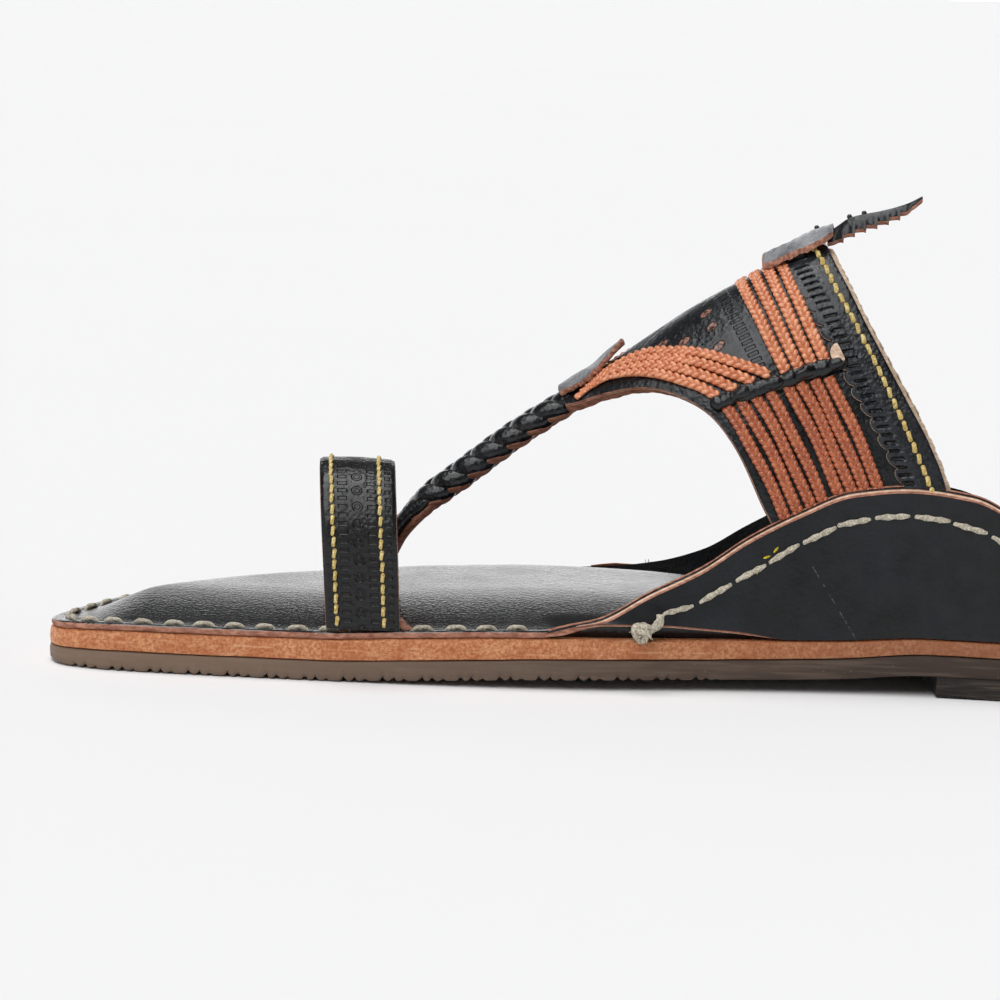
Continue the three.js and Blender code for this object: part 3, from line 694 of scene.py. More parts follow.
class Batch:
    """Many small closed shapes gathered into one mesh."""

    def __init__(self):
        self.verts, self.faces, self.count = [], [], 0

    def add(self, verts, faces):
        self.verts.append(np.asarray(verts, float))
        self.faces.extend((np.asarray(f) + self.count).tolist() for f in faces)
        self.count += len(verts)

    def tube(self, path, up, width, depth, sides=8, twist=0.0, ply=0.0):
        """A capped tube along path; up is its broad face's direction, ply its strand relief."""
        path = np.asarray(path, float)
        steps = len(path)
        up = np.broadcast_to(np.asarray(up, float), path.shape)
        tangent = unit(np.gradient(path, axis=0))
        side = unit(np.cross(tangent, up))
        up = unit(np.cross(side, tangent))
        turn = 2 * np.pi * np.arange(sides) / sides
        relief = 1 + ply * np.cos(2 * turn[None, :] - twist * walked(path)[:, None])
        w, d = (np.broadcast_to(np.asarray(size, float), (steps,))[:, None] / 2 * relief
                for size in (width, depth))
        rings = (path[:, None] + side[:, None] * (w * np.cos(turn))[..., None]
                 + up[:, None] * (d * np.sin(turn))[..., None])
        self.add(rings.reshape(-1, 3), tube_faces(steps, sides))

    def stitch(self, start, end, up, width, depth, sink=0.25, arch=0.5, steps=9, sides=8):
        """One twisted stitch that dips into the leather at both ends."""
        f = np.linspace(0, 1, steps)
        up = unit(np.asarray(up, float))
        hump = np.sin(np.pi * f) ** arch
        path = lerp(np.asarray(start, float), np.asarray(end, float), f[:, None])
        path = path + up * ((depth / 2 + sink) * hump - sink)[:, None]
        taper = 0.55 + 0.45 * hump
        self.tube(path, up, width * taper, depth * taper, sides, twist=2.6 / width, ply=0.16)

    def braid(self, path, up, width, depth, period, strand, phase, sides, steps):
        """A flat three-strand plait along path, with steps rings to each period."""
        walk = walked(path)
        s = np.linspace(0, walk[-1], int(steps * walk[-1] / period))
        centre, up = trace(s, walk, path), unit(trace(s, walk, up))
        side = unit(np.cross(unit(np.gradient(centre, axis=0)), up))
        width, depth = np.interp(s, walk, width), np.interp(s, walk, depth)
        for k in range(3):
            turn = 2 * np.pi * (s / period + k / 3) + phase
            sway = (width * (1 - strand[0]) / 2 * np.sin(turn))[:, None]
            rise = (depth * (1 - strand[1]) / 2 * np.sin(2 * turn))[:, None]
            line = centre + side * sway + up * rise
            self.tube(line, up, width * strand[0], depth * strand[1], sides)

    def chevrons(self, path, up, width, depth, pitch, shift=0.0, slant=1.5, full=0.8):
        """A flat plait: two rows of slanted lobes that meet in Vs pointing along path."""
        walk = walked(path)
        up = unit(up)
        side = unit(np.cross(unit(np.gradient(path, axis=0)), up))
        width, depth = (np.broadcast_to(size, walk.shape) for size in (width, depth))
        self.tube(path, up, width * 0.95, depth * 0.74, 10)
        f = np.linspace(0, 1, 6)
        for row, hand in enumerate((-1, 1)):
            for start in np.arange((shift + row / 2) % 1 * pitch, walk[-1] - 0.2, pitch):
                half = float(np.interp(start, walk, width)) / 2
                deep = float(np.interp(start, walk, depth))
                s = np.clip(start - 0.35 + f * half * slant, 0, walk[-1])
                across = hand * half * (0.88 - 1.0 * f ** 1.1)
                lift = deep * (0.06 + 0.28 * np.sin(np.pi * np.clip(f * 0.85 + 0.1, 0, 1)) ** 0.8)
                shape = np.sqrt(np.maximum(1 - (2 * f - 1) ** 4, 0.06))
                spot, out, over = (trace(s, walk, values) for values in (path, up, side))
                line = spot + over * across[:, None] + out * lift[:, None]
                facing = trace(start, walk, up)
                self.tube(line, facing, pitch * full * shape, deep * 0.44 * shape, 8)

    def piece(self, name, mat, slot, **options):
        """Makes the one mesh of all that was added."""
        return add_piece(name, np.concatenate(self.verts), self.faces, [mat], slot, **options)


# ---------------------------------------------------------------- the sole

STATIONS = 300


def rim_points(side, f, inset):
    """Points just inside the outline on one side, with their distance along it."""
    span = outline.heel_walk if side == "medial" else outline.heel_walk - outline.total
    walk = np.mod(f * span, outline.total)
    point, inward = outline.at(walk)
    t = point[:, 0] + LENGTH / 2
    moved = point + inward * np.broadcast_to(inset(t, walk), t.shape)[:, None]
    return moved, walk


def sole_layer(name, slot, node, mats, rings, top, bottom, f=None, across=14, cap=False, skew=None):
    """A layer of the sole from rings (inset, height, material), listed from the bottom up."""
    f = np.linspace(0, 1, STATIONS + 1) if f is None else f
    sides = {}
    for side in HAND:
        sides[side] = []
        for inset, height, _ in rings:
            moved, walk = rim_points(side, f, inset)
            z = height(moved[:, 0] + LENGTH / 2, walk)
            sides[side].append(np.column_stack([moved, z]))
    spans = np.linspace(0, 1, across + 1)[1:-1]

    def bridge(a, b, surface):
        lines = [lerp(a, b, g) for g in spans]
        for line in lines:
            line[:, 2] = surface(line[:, 0] + LENGTH / 2, line[:, 1])
        return lines

    medial, lateral = sides["medial"], sides["lateral"]
    over = bridge(medial[-1], lateral[-1], top)
    under = bridge(lateral[0], medial[0], bottom)
    grid = np.stack([*medial, *over, *lateral[::-1], *under], axis=1)
    if skew is not None:
        grid[..., 0] += skew(grid, f[:, None])
    rows, cols = grid.shape[:2]
    last = [ring[2] for ring in rings]
    strip = (last[1:] + [last[-1]] * across + last[:0:-1] + [0] * across)[:cols]
    faces = grid_faces(rows, cols, wrap=True).tolist()
    mat_of = np.tile(strip, rows - 1).tolist()
    if cap:
        faces.append(list(range(cols)))
        mat_of.append(0)
    return add_piece(name, grid.reshape(-1, 3), faces, mats, slot, (node,), mat_of)


def waver(walk, size, *counts):
    """A slow, closed wandering along the outline, of a few waves with these counts."""
    turn = 2 * np.pi * walk / outline.total
    waves = sum(np.sin(n * turn + 1.7 * i + n) for i, n in enumerate(counts))
    return size * waves / max(len(counts), 1)


def flat(t):
    """A surface at zero."""
    return 0 * t


def stepped(surface, step, size=0.0, *counts):
    """A ring's height or inset: a step from a surface, with a wandering of its own."""
    return lambda t, walk: surface(t) + step + waver(walk, size, *counts)


def lug_groove(t):
    """Depth of the tread's cuts: three short cuts in each stretch of the sole."""
    place = np.mod(t - 6, 8.4)
    cuts = sum(depth * hill(place, centre, 0.42)
               for centre, depth in ((1.2, 1.0), (3.5, 0.9), (5.8, 0.55)))
    return cuts * window(t, 4, 9, 140, 150)


def make_outsole():
    """The rubber sole, with the tread's cuts along its lower edge and across its underside."""
    depth = 0.8
    f = np.linspace(0, 1, 2 * STATIONS + 1)

    def notched(surface, step, share):
        return lambda t, walk: surface(t) + step + share * lug_groove(t)

    cut = notched(stack_bottom, 0, depth)
    rings = [
        (stepped(flat, 2.2), cut, 0),
        (notched(flat, 0.5, 0.3), cut, 0),
        (notched(flat, 0.1, 0.35), notched(stack_bottom, 0.4, 0.7), 0),
        (stepped(flat, 0, 0.06, 9, 23, 41), stepped(stack_bottom, 1.4), 0),
        (stepped(flat, -0.05, 0.06, 9, 23, 41), stepped(rubber_top, -1.2), 0),
        (stepped(flat, 0.12, 0.05, 7, 31), stepped(rubber_top, -0.3), 0),
        (stepped(flat, 0.6), stepped(rubber_top, -0.08), 0)]
    sole_layer("outsole_rubber", "rubber", "outsole", ["rubber"], rings,
               lambda t, y: rubber_top(t) - 0.1,
               lambda t, y: stack_bottom(t) + depth * lug_groove(t + 0.06 * y), f, across=10)


HEEL_BREAST = 193.8


def make_heel():
    """The heel block, from a skewed and slightly curved breast to the back edge."""
    f0 = outline.walk_at("medial", HEEL_BREAST) / outline.heel_walk
    f = np.linspace(f0, 1, 111)
    top = float(stack_bottom(LENGTH)) - 0.05
    heights = ((0.9, 0.0), (0.35, 0.12), (0.15, 0.6), (0.2, top - 0.5), (0.5, top))
    rings = [(stepped(flat, inset, 0.05, 13, 37), stepped(flat, z), 0) for inset, z in heights]

    def skew(grid, share):
        fade = 1 - (share - f0) / (1 - f0)
        return (grid[..., 1] + 35.5) * 0.075 * fade ** 3

    sole_layer("heel_block", "rubber", "heel", ["heel"], rings, lambda t, y: top + 0 * t,
               lambda t, y: 0 * t, f, across=10, cap=True, skew=skew)


def make_midsole():
    """The tan leather layer, its edge uneven from the knife."""
    def edge(step):
        return stepped(flat, step, 0.12, 5, 11, 19, 43)

    def between(share):
        return lambda t, walk: lerp(rubber_top(t), tan_top(t), share)

    rings = [
        (stepped(flat, 0.7), stepped(rubber_top, 0.02), 0),
        (edge(0.2), stepped(rubber_top, 0.2, 0.1, 17, 29, 53), 0),
        (edge(0.05), between(0.35), 0),
        (edge(0.1), between(0.72), 0),
        (edge(0.25), stepped(tan_top, -0.35, 0.1, 21, 33, 57), 0),
        (stepped(flat, 0.9), stepped(tan_top, -0.03), 0)]
    sole_layer("midsole_leather", "tan_leather", "midsole", ["tan"], rings,
               lambda t, y: tan_top(t) - 0.04, lambda t, y: rubber_top(t) + 0.03)


FLAP_FROM, FLAP_TO = 113, 244
FLAP_THICKNESS, FLAP_LEAN, FLAP_INSET = 3.0, 0.11, 0.4
STITCH_INSET = 3.6


def flap_cut(t):
    """How far the footbed's edge is cut back where a flap's wall stands beside it."""
    front = smoothstep(t, FLAP_FROM - 5, FLAP_FROM - 0.6)
    rear = 1 - smoothstep(t, FLAP_TO + 0.6, FLAP_TO + 5)
    return (FLAP_THICKNESS + FLAP_INSET) * front * rear


def insole_top(t, y):
    """The footbed's crown, its flat margin and a few soft creases across the joint."""
    near, far = y - outline.edge("medial", t) - 0.5, outline.edge("lateral", t) - y - 0.5
    end = np.minimum(t - 0.5, LENGTH - 0.5 - t) * 1.3
    gentle = 1 - (1 - np.clip((near - 4.6) / 35, 0, 1)) ** 2
    crown = gentle * smoothstep(far, 4.8, 22.8) * smoothstep(end, 4.8, 26)
    crown = crown * (1 - 0.45 * smoothstep(t, 125, 165))
    crease = sum(depth * hill(t + 0.12 * y, at, width)
                 for at, depth, width in ((88, 0.12, 3.0), (97, 0.10, 2.4), (191, 0.08, 3.0)))
    return insole_edge_top(t) + INSOLE_CROWN * crown - crease * crown


def make_insole():
    """The footbed: a brown cut edge, a margin grooved for the stitches, and the crown."""
    def edge(step):
        return stepped(flap_cut, 0.45 + step, 0.12, 7, 15, 27, 61)

    def rise(z):
        return stepped(tan_top, z, 0.07, 13, 35, 71)

    def on_top(z):
        return stepped(insole_edge_top, z)

    rings = [
        (edge(0.5), stepped(tan_top, 0.03), 0), (edge(0.1), rise(0.2), 1),
        (edge(-0.15), rise(0.6), 1), (edge(-0.15), rise(1.0), 1), (edge(0.0), rise(1.35), 1),
        (edge(0.35), on_top(0.03), 0), (edge(0.9), on_top(0.12), 0), (edge(2.2), on_top(0.1), 0),
        (edge(2.9), on_top(-0.1), 0), (edge(3.8), on_top(-0.1), 0), (edge(4.5), on_top(0.04), 0),
        (edge(5.2), on_top(0.08), 0)]
    sole_layer("insole_leather", "black_leather", "insole", ["insole", "brown_edge"], rings,
               insole_top, lambda t, y: tan_top(t) + 0.04, across=26)


def make_insole_stitches():
    """Waxed stitches round the toe, from flap to flap, and round the heel."""
    batch = Batch()
    pitch, length = 6.8, 4.9
    total = outline.total
    toe = (-(total - outline.walk_at("lateral", 110)), outline.walk_at("medial", 109))
    heel = (outline.walk_at("medial", 248), outline.walk_at("lateral", 248))
    for start, stop in (toe, heel):
        for i in range(int((stop - start) / pitch)):
            begin = start + i * pitch + rng.uniform(-0.3, 0.3)
            reach = length + rng.uniform(-0.5, 0.4)
            walk = np.array([begin, begin + reach])
            point, inward = outline.at(walk)
            at = point + inward * (STITCH_INSET + rng.uniform(-0.2, 0.2, (2, 1)))
            z = insole_edge_top(at[:, 0] + LENGTH / 2) - 0.1
            ends = np.column_stack([at, z])
            batch.stitch(*ends, (0, 0, 1), width=1.15, depth=1.2, sink=0.5, arch=0.65)
    batch.piece("insole_stitches", "thread", "thread")


# ---------------------------------------------------------------- the side flaps

stitch_drop = curve((113, 1.2), (126, 4.6), (134, 6.2), (149, 7.9), (158, 7.9), (166, 6.8),
                    (186, 6.4), (204, 6.9), (236, 5.6), (244, 4))
outer_lift = curve((113, 1.2), (117, 2.1), (122, 2.7), (134, 2.6), (142, 2.0), (150, 1.3),
                   (157, 0.45), (162, 0.05), (244, 0.05))
inner_lift = curve((108, 0.1), (113, 0.8), (117, 1.8), (122, 2.6), (134, 2.5), (142, 1.9),
                   (150, 1.2), (157, 0.4), (162, 0.0), (244, 0.0))
flap_top = {side: column(FLAP_TOP, side) for side in HAND}


def flap_point(side, t, z, depth):
    """A point of a flap's wall at a depth in from its outer face."""
    base = tan_top(t) + 0.15
    inset = FLAP_INSET + depth + FLAP_LEAN * (z - base)
    return points(t, outline.edge(side, t) - HAND[side] * inset, z)


def flap_dent(t, z):
    """Soft hollows: where the strap's leg presses, and near the fold of the base."""
    press = 0.35 * hill(t, 178, 17) * hill(z, 30, 9)
    slack = 0.25 * hill(t, 138, 9) * hill(z, 15, 3)
    ripple = 0.08 * np.sin(t / 4.7 + z / 9) * smoothstep(z, 12, 30)
    return press - slack + ripple


def make_flap(side):
    """A flap is two plies: a smooth outer one and an inner one that grows out of the footbed."""
    outer_ply, inner_from = 1.3, 1.42
    up = 1 - (1 - np.linspace(0, 1, 34)) ** 1.3

    def layer(t, depth, low, high):
        z = lerp(low, high, up[None, :])
        base = tan_top(t) + 0.1
        rise = np.clip((z - base) / np.maximum(high - base, 3.0), 0, 1)
        return flap_point(side, t, z, depth + flap_dent(t, z) * rise)

    def brim(t):
        grown = smoothstep(t, 107.5, 114)
        return lerp(insole_edge_top(t) - 0.1, flap_top[side](t), grown)

    def stations(first, count):
        """Stations along the flap, closer together at its front."""
        front = np.linspace(first, 125, count, endpoint=False)
        return np.concatenate([front, np.linspace(125, FLAP_TO, 130)])[:, None] + 0 * up[None, :]

    t = stations(107, 54)
    base = tan_top(t) + 0.1
    start = 0.6 * (1 - smoothstep(t, 107, 112))
    depth = inner_from * smoothstep(t, 111, 119) + start
    inner = layer(t, depth, base + inner_lift(t), brim(t) - 0.55)
    inner_back = layer(t, FLAP_THICKNESS - 0.35 + 0 * t, base, brim(t) + 0.05)
    sheet(f"flap_{side}_inner", inner, inner_back, ["brown_edge", "black", "black", "brown_edge"],
          bulge=0.05, first="black")

    t = stations(115.5, 36)
    low = tan_top(t) + 0.1 + outer_lift(t)
    skive = 0.15 + 0.45 * smoothstep(outer_lift(t), 0.05, 1.0)
    hem = 0.5 * hill(t, 131, 12)
    high = np.maximum(brim(t) - 1.35, low + skive + 0.1)
    outer = layer(t, -hem * (1 - up[None, :]) ** 2, low + skive, high)
    depth = outer_ply - hem * (1 - up[None, :]) ** 2
    outer_back = layer(t, depth, low, np.maximum(brim(t) - 0.65, high + 0.1))
    sheet(f"flap_{side}_outer", outer, outer_back, ["flap", "flesh", "brown_edge", "cream_edge"],
          bulge=0.05, replaces=(f"flap_{side}",))


def make_flap_stitches(side):
    """Long hand stitches below the flap's top edge, sunk into the leather at both ends."""
    batch = Batch()
    pitch = 8.7
    t = 133.0
    out = np.array([0, HAND[side], 0.15])
    lowest = 12.6

    def seam(t):
        return flap_top[side](t) - np.minimum(stitch_drop(t), flap_top[side](t) - lowest)

    while t < 236:
        length = 8.3 + rng.uniform(-0.6, 0.3)
        slope = float(seam(t + 4) - seam(t - 4)) / 8
        step = length / math.hypot(1, slope)
        ends = np.array([t, t + step])
        z = seam(ends) + rng.uniform(-0.25, 0.25, 2)
        at = flap_point(side, ends, z, 0.3)
        batch.stitch(*at, out, width=1.25, depth=0.9, sink=0.25, arch=0.35, steps=17)
        t += pitch / math.hypot(1, slope) + rng.uniform(-0.3, 0.3)
    batch.piece(f"flap_{side}_stitches", "thread", "thread")


def make_flecks():
    """Three yellow fibres caught under a stitch on the medial flap."""
    batch = Batch()
    for t, z, lean in ((157.7, 30.8, 0.9), (155.8, 29.2, 0.35), (153.6, 26.2, -1.2)):
        f = np.linspace(-1, 1, 7)
        reach, round_off = 0.8 * f, np.sqrt(1.05 - f ** 2)
        at = flap_point("medial", t + reach * math.cos(lean), z + reach * math.sin(lean),
                        -0.15 + 0.1 * f ** 2)
        batch.tube(at, (0, 1, 0.2), 0.5 * round_off, 0.35 * round_off, 8)
    batch.piece("yellow_fibres", "fleck", "thread")


def make_knot(side):
    """The seam's end knot at the foot of the flap, with its tail and frayed ends."""
    batch = Batch()
    hand = HAND[side]
    centre = flap_point(side, np.array(129.6), np.array(12.9), -1.1)
    turn = np.linspace(0, 2 * np.pi, 90)
    loops = np.stack([np.sin(turn) + 2 * np.sin(2 * turn), np.cos(turn) - 2 * np.cos(2 * turn),
                      -np.sin(3 * turn)], axis=-1) * 0.6
    path = centre + loops[:, [0, 2, 1]] * np.array([1.05, 0.8 * hand, 1.1])
    batch.tube(path, (0.3, 1, 0.2), 1.35, 1.35, 9, twist=2.4, ply=0.14)
    for k in range(3):
        spin = turn[:60] * 1.3 + 2.1 * k
        coil = np.column_stack([1.6 * np.cos(spin), 0.7 * np.sin(spin * 1.5 + k), 1.5 * np.sin(spin)])
        coil = coil @ np.array(Matrix.Rotation(0.9 * k, 3, "X")).T
        batch.tube(centre + coil, (0, 1, 0.1), 1.15, 1.15, 8, twist=2.8, ply=0.14)
    seam_start = flap_point(side, np.array(133.4), flap_top[side](133.4) - stitch_drop(133.4), -0.15)
    f = np.linspace(0, 1, 14)[:, None]
    tail = lerp(centre + [0.8, 0, 0.3], seam_start, f) + np.sin(np.pi * f) * [1.0, 0.5 * hand, -0.3]
    batch.tube(tail, (0, 1, 0), 1.9, 1.3, 9, twist=2.0, ply=0.16)
    for k in range(9):
        lean = rng.uniform(-1, 1, 3) * [1.0, 0.5, 1.0] + [0, 0.3 * hand, 0]
        start = centre + unit(lean) * 1.7
        curl = start + f * unit(lean) * rng.uniform(0.8, 1.6) + f ** 2 * rng.uniform(-0.7, 0.7, 3)
        fine = lerp(0.34, 0.14, f[:, 0])
        batch.tube(curl, (0.2, 1, 0.1), fine, fine, 5)
    batch.piece(f"seam_knot_{side}", "thread", "thread")


# ---------------------------------------------------------------- the instep strap

fold_edge = {name: column(STRAP_EDGES, name, "fold")
             for name in ("frontT", "frontAngle", "rearT", "rearAngle")}
rear_edge = column(STRAP_EDGES, "rearT", "rearAngle")
scallop_line = curve((0, 154.5), (17.6, 157.5), (32.3, 163), (44.8, 169.2), (49.3, 171.6),
                     (53.4, 173.9), (57, 176.7), (60.6, 179), (64, 181.4), (67, 183.5), (80, 191))
first_cord = curve((0, 146.4), (10, 147.3), (20, 148.8), (30, 151.4), (37, 153.7), (45.5, 157.3),
                   (60, 164))
border_slits = curve((0, 160.2), (11.5, 160.4), (24, 163.2), (36.2, 168.0), (50.4, 174.6),
                     (67.5, 185.2), (80, 192))
gold_line = curve((0, 163.2), (6.6, 163.8), (25.8, 167.9), (38.7, 173.1), (48.8, 178.4),
                  (59.1, 184.5), (66.3, 189), (76, 194.5))
STRAP_THICKNESS = 2.0
SLIT_PITCH = 1.8
SCALLOP_PITCH = 3.8
LEG_CORD_GAP, RIDGE_CORD_GAP = 3.13, 2.86


def strap_wave(t, angle):
    """Soft hollows of worn leather: round the neck and where the legs turn down."""
    size = np.abs(angle)
    neck = 0.35 * hill(t, 126, 5) * hill(size, 8, 7)
    leg = 0.3 * hill(t, 163, 9) * hill(size, 62, 7)
    return -neck - leg + 0.06 * np.sin(t / 3.1 + angle / 6)


def make_strap():
    """The strap's black face and, behind it, a paler lining that shows along the rear edge."""
    last_fold = STRAP_EDGES["fold"][-1]
    folds = np.linspace(-last_fold, last_fold, 301)[:, None]
    across = eased(64)[None, :]
    size = np.abs(folds)
    trimmed = 2.0 * window(size, 1, 1.9, 5, 7)

    def place(front_step, rear_step):
        front = fold_edge["frontT"](size) + front_step
        rear = fold_edge["rearT"](size) + rear_step
        angle = lerp(fold_edge["frontAngle"](size) - trimmed, fold_edge["rearAngle"](size), across)
        return lerp(front, rear, across), np.sign(folds) * angle

    margin = window(across, 0, 0.04, 0.985, 1)
    t, angle = place(0, -1.3)
    wave = strap_wave(t, angle) * margin
    face = instep_point(t, angle, wave - 0.12 * (1 - margin))
    back = instep_point(t, angle, wave * 0.5 - 0.85)
    plan = np.stack([t, instep_arc(t, angle), t - first_cord(np.abs(angle))], axis=-1)
    sheet("instep_strap", face, back, leather("instep"), plan, replaces=("upper",))
    t, angle = place(-0.15, -0.15)
    ragged = (0.12 * np.sin(angle * 1.9) + 0.08 * np.sin(angle * 5.3)) * smoothstep(across, 0.9, 1)
    rough = 1 + 0.25 * np.sin(size * 9.0) + 0.15 * np.sin(size * 23.0)
    thick = 0.6 * rough * window(size, 0.3, 1.2, 3, 5.5) * (1 - across) ** 3
    face = instep_point(t + ragged, angle, wave * 0.5 - 0.9)
    back = instep_point(t + ragged, angle, -STRAP_THICKNESS - thick)
    sheet("instep_lining", face, back, ["hem", "lining", "flesh", "flesh"],
          bulge=0.1, rear="hem")


def make_border():
    """The overlay along the rear edge: scalloped in front, with a column of pressed slits."""
    angle = np.linspace(-78, 78, 760)
    size = np.abs(angle)
    arc = np.abs(instep_arc(border_slits(size), angle))
    lobe = np.mod(arc + 1.2, SCALLOP_PITCH) / SCALLOP_PITCH * 2 - 1
    depth = 1.6 * np.sqrt(np.maximum(1 - lobe ** 2, 0.0))
    front = scallop_line(size) + 1.0 - depth
    rear = rear_edge(size) - 1.1
    across = np.linspace(0, 1, 30)[None, :] ** 1.15
    t = lerp(front[:, None], rear[:, None], across)
    spread_angle = angle[:, None] + 0 * t
    margin = window(across, 0, 0.05, 0.96, 1)
    wave = strap_wave(t, spread_angle) * (1 - smoothstep(across, 0.985, 1))
    off = t - border_slits(size)[:, None]
    beat = np.abs(np.mod(arc, SLIT_PITCH) / SLIT_PITCH * 2 - 1)[:, None]
    pressed = smoothstep(beat, 0.5, 0.75) * window(off, -1.6, -1.2, 1.2, 1.6)
    pillow = 0.16 * (1 - pressed) * hill(off, 0, 2.3)
    raised = 0.75 + (0.2 + pillow - 0.4 * pressed) * margin
    face = instep_point(t, spread_angle, wave + raised)
    back = instep_point(t, spread_angle, wave + 0.02)
    plan = np.stack([pressed, arc[:, None] + 0 * t, off], axis=-1)
    sheet("rear_border", face, back, ["border", "flesh", "cream_edge", "brown_edge"],
          plan, bulge=0.1, rear="border")


def make_gold_stitches():
    """The close yellow stitches along the rear border."""
    batch = Batch()
    angle = np.linspace(-76, 76, 2400)
    t = gold_line(np.abs(angle))
    points, normals, _ = instep_frame(t, angle)
    walk = walked(points)
    pitch = 2.62
    for start in np.arange(0.4, walk[-1] - pitch, pitch):
        reach = 2.25 + rng.uniform(-0.15, 0.15)
        ends = np.array([start, start + reach])
        up = trace(start, walk, normals)
        at = trace(ends, walk, points) + up * 0.95
        skew = np.array([rng.uniform(0.12, 0.34), 0, 0])
        batch.stitch(at[0] - skew, at[1] + skew, up, rng.uniform(1.1, 1.3), 1.0, sink=0.3, steps=12)
    batch.piece("border_stitches", "gold", "gold_thread")


def surface_path(ts, angles, lift):
    """Points lifted off the instep along a route, with the normals there."""
    points, normals, _ = instep_frame(ts, angles)
    return points + normals * np.broadcast_to(lift, len(points))[:, None], normals


def make_cords():
    """The three groups of plaited cords laid on each side of the strap."""
    low = curve((112.6, 19), (115.7, 14.8), (118.9, 12.1), (122.1, 13.7), (126.5, 17.7),
                (132.9, 25.6), (137.7, 30.3), (142.5, 34.9), (148.3, 40.2), (154.6, 45.2))
    high = curve((112.6, 20.6), (115.7, 18.2), (118, 18.4), (122.3, 22.4), (130.7, 32.2),
                 (135.6, 37.7), (140.4, 42.5), (143.6, 46.0))
    share = np.linspace(0, 1, 70)
    arch, lower = Batch(), Batch()
    for hand in (-1, 1):
        for k in range(4):
            f = k / 3
            low_t = lerp(112.8, 154.6, share)
            high_t = lerp(112.8, 143.6, share)
            t = lerp(low_t, high_t, f)
            angle = lerp(low(low_t), high(high_t), f)
            path, normal = surface_path(t, hand * angle, 0.45)
            growth = smoothstep(share, 0, 0.6)
            arch.chevrons(path, normal, lerp(0.7, 2.3, growth), lerp(0.9, 1.9, growth), 1.7,
                          shift=0.3 * k, slant=2.0, full=0.64)
        for k, nudge in enumerate((0, 0.1, 0.05, -0.1, 0.75, 0.45, 0.15, 0.2)):
            angle = np.linspace(48.6, 80, 50)
            t = 146.5 + LEG_CORD_GAP * k + nudge + 0.59 * (angle - 50.5)
            t = t + 0.12 * np.sin(angle * 0.4 + 2.2 * k)
            path, normal = surface_path(t, hand * angle, 0.4)
            lower.chevrons(path, normal, 2.5, 1.5, 1.45, shift=0.37 * k, slant=1.7)
    arch.piece("arch_cords", "cord", "cord", sharp=70)
    # The leg cords take the darker copy of the cord leather, painted shade.
    lower.piece("leg_cords", "cord_shaded", "cord", sharp=70)
    upper = Batch()
    for hand in (-1, 1):
        for k in range(4):
            angle = np.linspace(0.2, 45.6, 95)
            t = first_cord(angle) + RIDGE_CORD_GAP * k + 0.9
            sunk = 0.4 - 1.0 * (1 - smoothstep(angle, 2, 13))
            path, normal = surface_path(t, hand * angle, sunk)
            upper.chevrons(path, normal, 2.6, 1.6, 1.45, shift=0.41 * k)
    upper.piece("ridge_cords", "cord", "cord", sharp=70)


def make_bars():
    """The rolled black strip that covers the cords' ends on each side."""
    angle_at = curve((142.6, 47.6), (155.0, 47.5), (163, 46.8), (170.5, 46.2), (172.5, 46.0))
    for side, hand in HAND.items():
        batch = Batch()
        t = np.linspace(142.4, 171.6, 110)
        path, normal = surface_path(t, hand * angle_at(t), 1.0)
        pinch = 1 + 0.07 * np.sin(t * 1.9) + 0.06 * np.sin(t * 0.83 + 2) + 0.04 * np.sin(t * 4.3)
        waist = 1 - 0.22 * hill(t, 147.5, 0.7) - 0.18 * hill(t, 157.5, 0.8)
        ends = np.sqrt(np.clip(1 - (np.abs(t - 157) / 14.7) ** 14, 0.02, 1))
        size = pinch * waist * ends
        batch.tube(path, normal, 3.5 * size, 2.4 * size, 20, twist=0.8, ply=0.06)
        fold = path + normal * (0.55 * np.sin(t * 0.9))[:, None]
        batch.tube(fold, normal, 2.8 * size, 2.6 * size, 16, twist=1.3, ply=0.06)
        batch.piece(f"bar_roll_{side}", "black", "black_leather", replaces=(f"bar_{side}",))


def make_peeled_lobe():
    """A medial scallop that has come loose beside the bar and shows its pale flesh side."""
    turn = np.linspace(0, 2 * np.pi, 28, endpoint=False)
    round_off = np.minimum(np.cos(turn), 0.35)
    rings = []
    for scale, lift in ((0.25, 1.2), (0.8, 1.3), (1.0, 1.55), (0.98, 1.85), (0.75, 1.95), (0.2, 1.8)):
        t = 169.5 + 1.5 * scale * round_off + 1.0 * scale * np.sin(turn)
        angle = -(44.4 + 2.0 * scale * np.sin(turn) - 0.6 * scale * round_off)
        rings.append(instep_point(t, angle, lift + 0.7 + 0.5 * np.cos(turn)))
    batch = Batch()
    batch.add(np.concatenate(rings), tube_faces(len(rings), len(turn)))
    batch.piece("loose_scallop_medial", "cream_edge", "black_leather")


# ---------------------------------------------------------------- plait, ring and leaves

plait_at = {name: column(PLAIT, name, "i") for name in ("t", "y", "z", "width", "depth")}


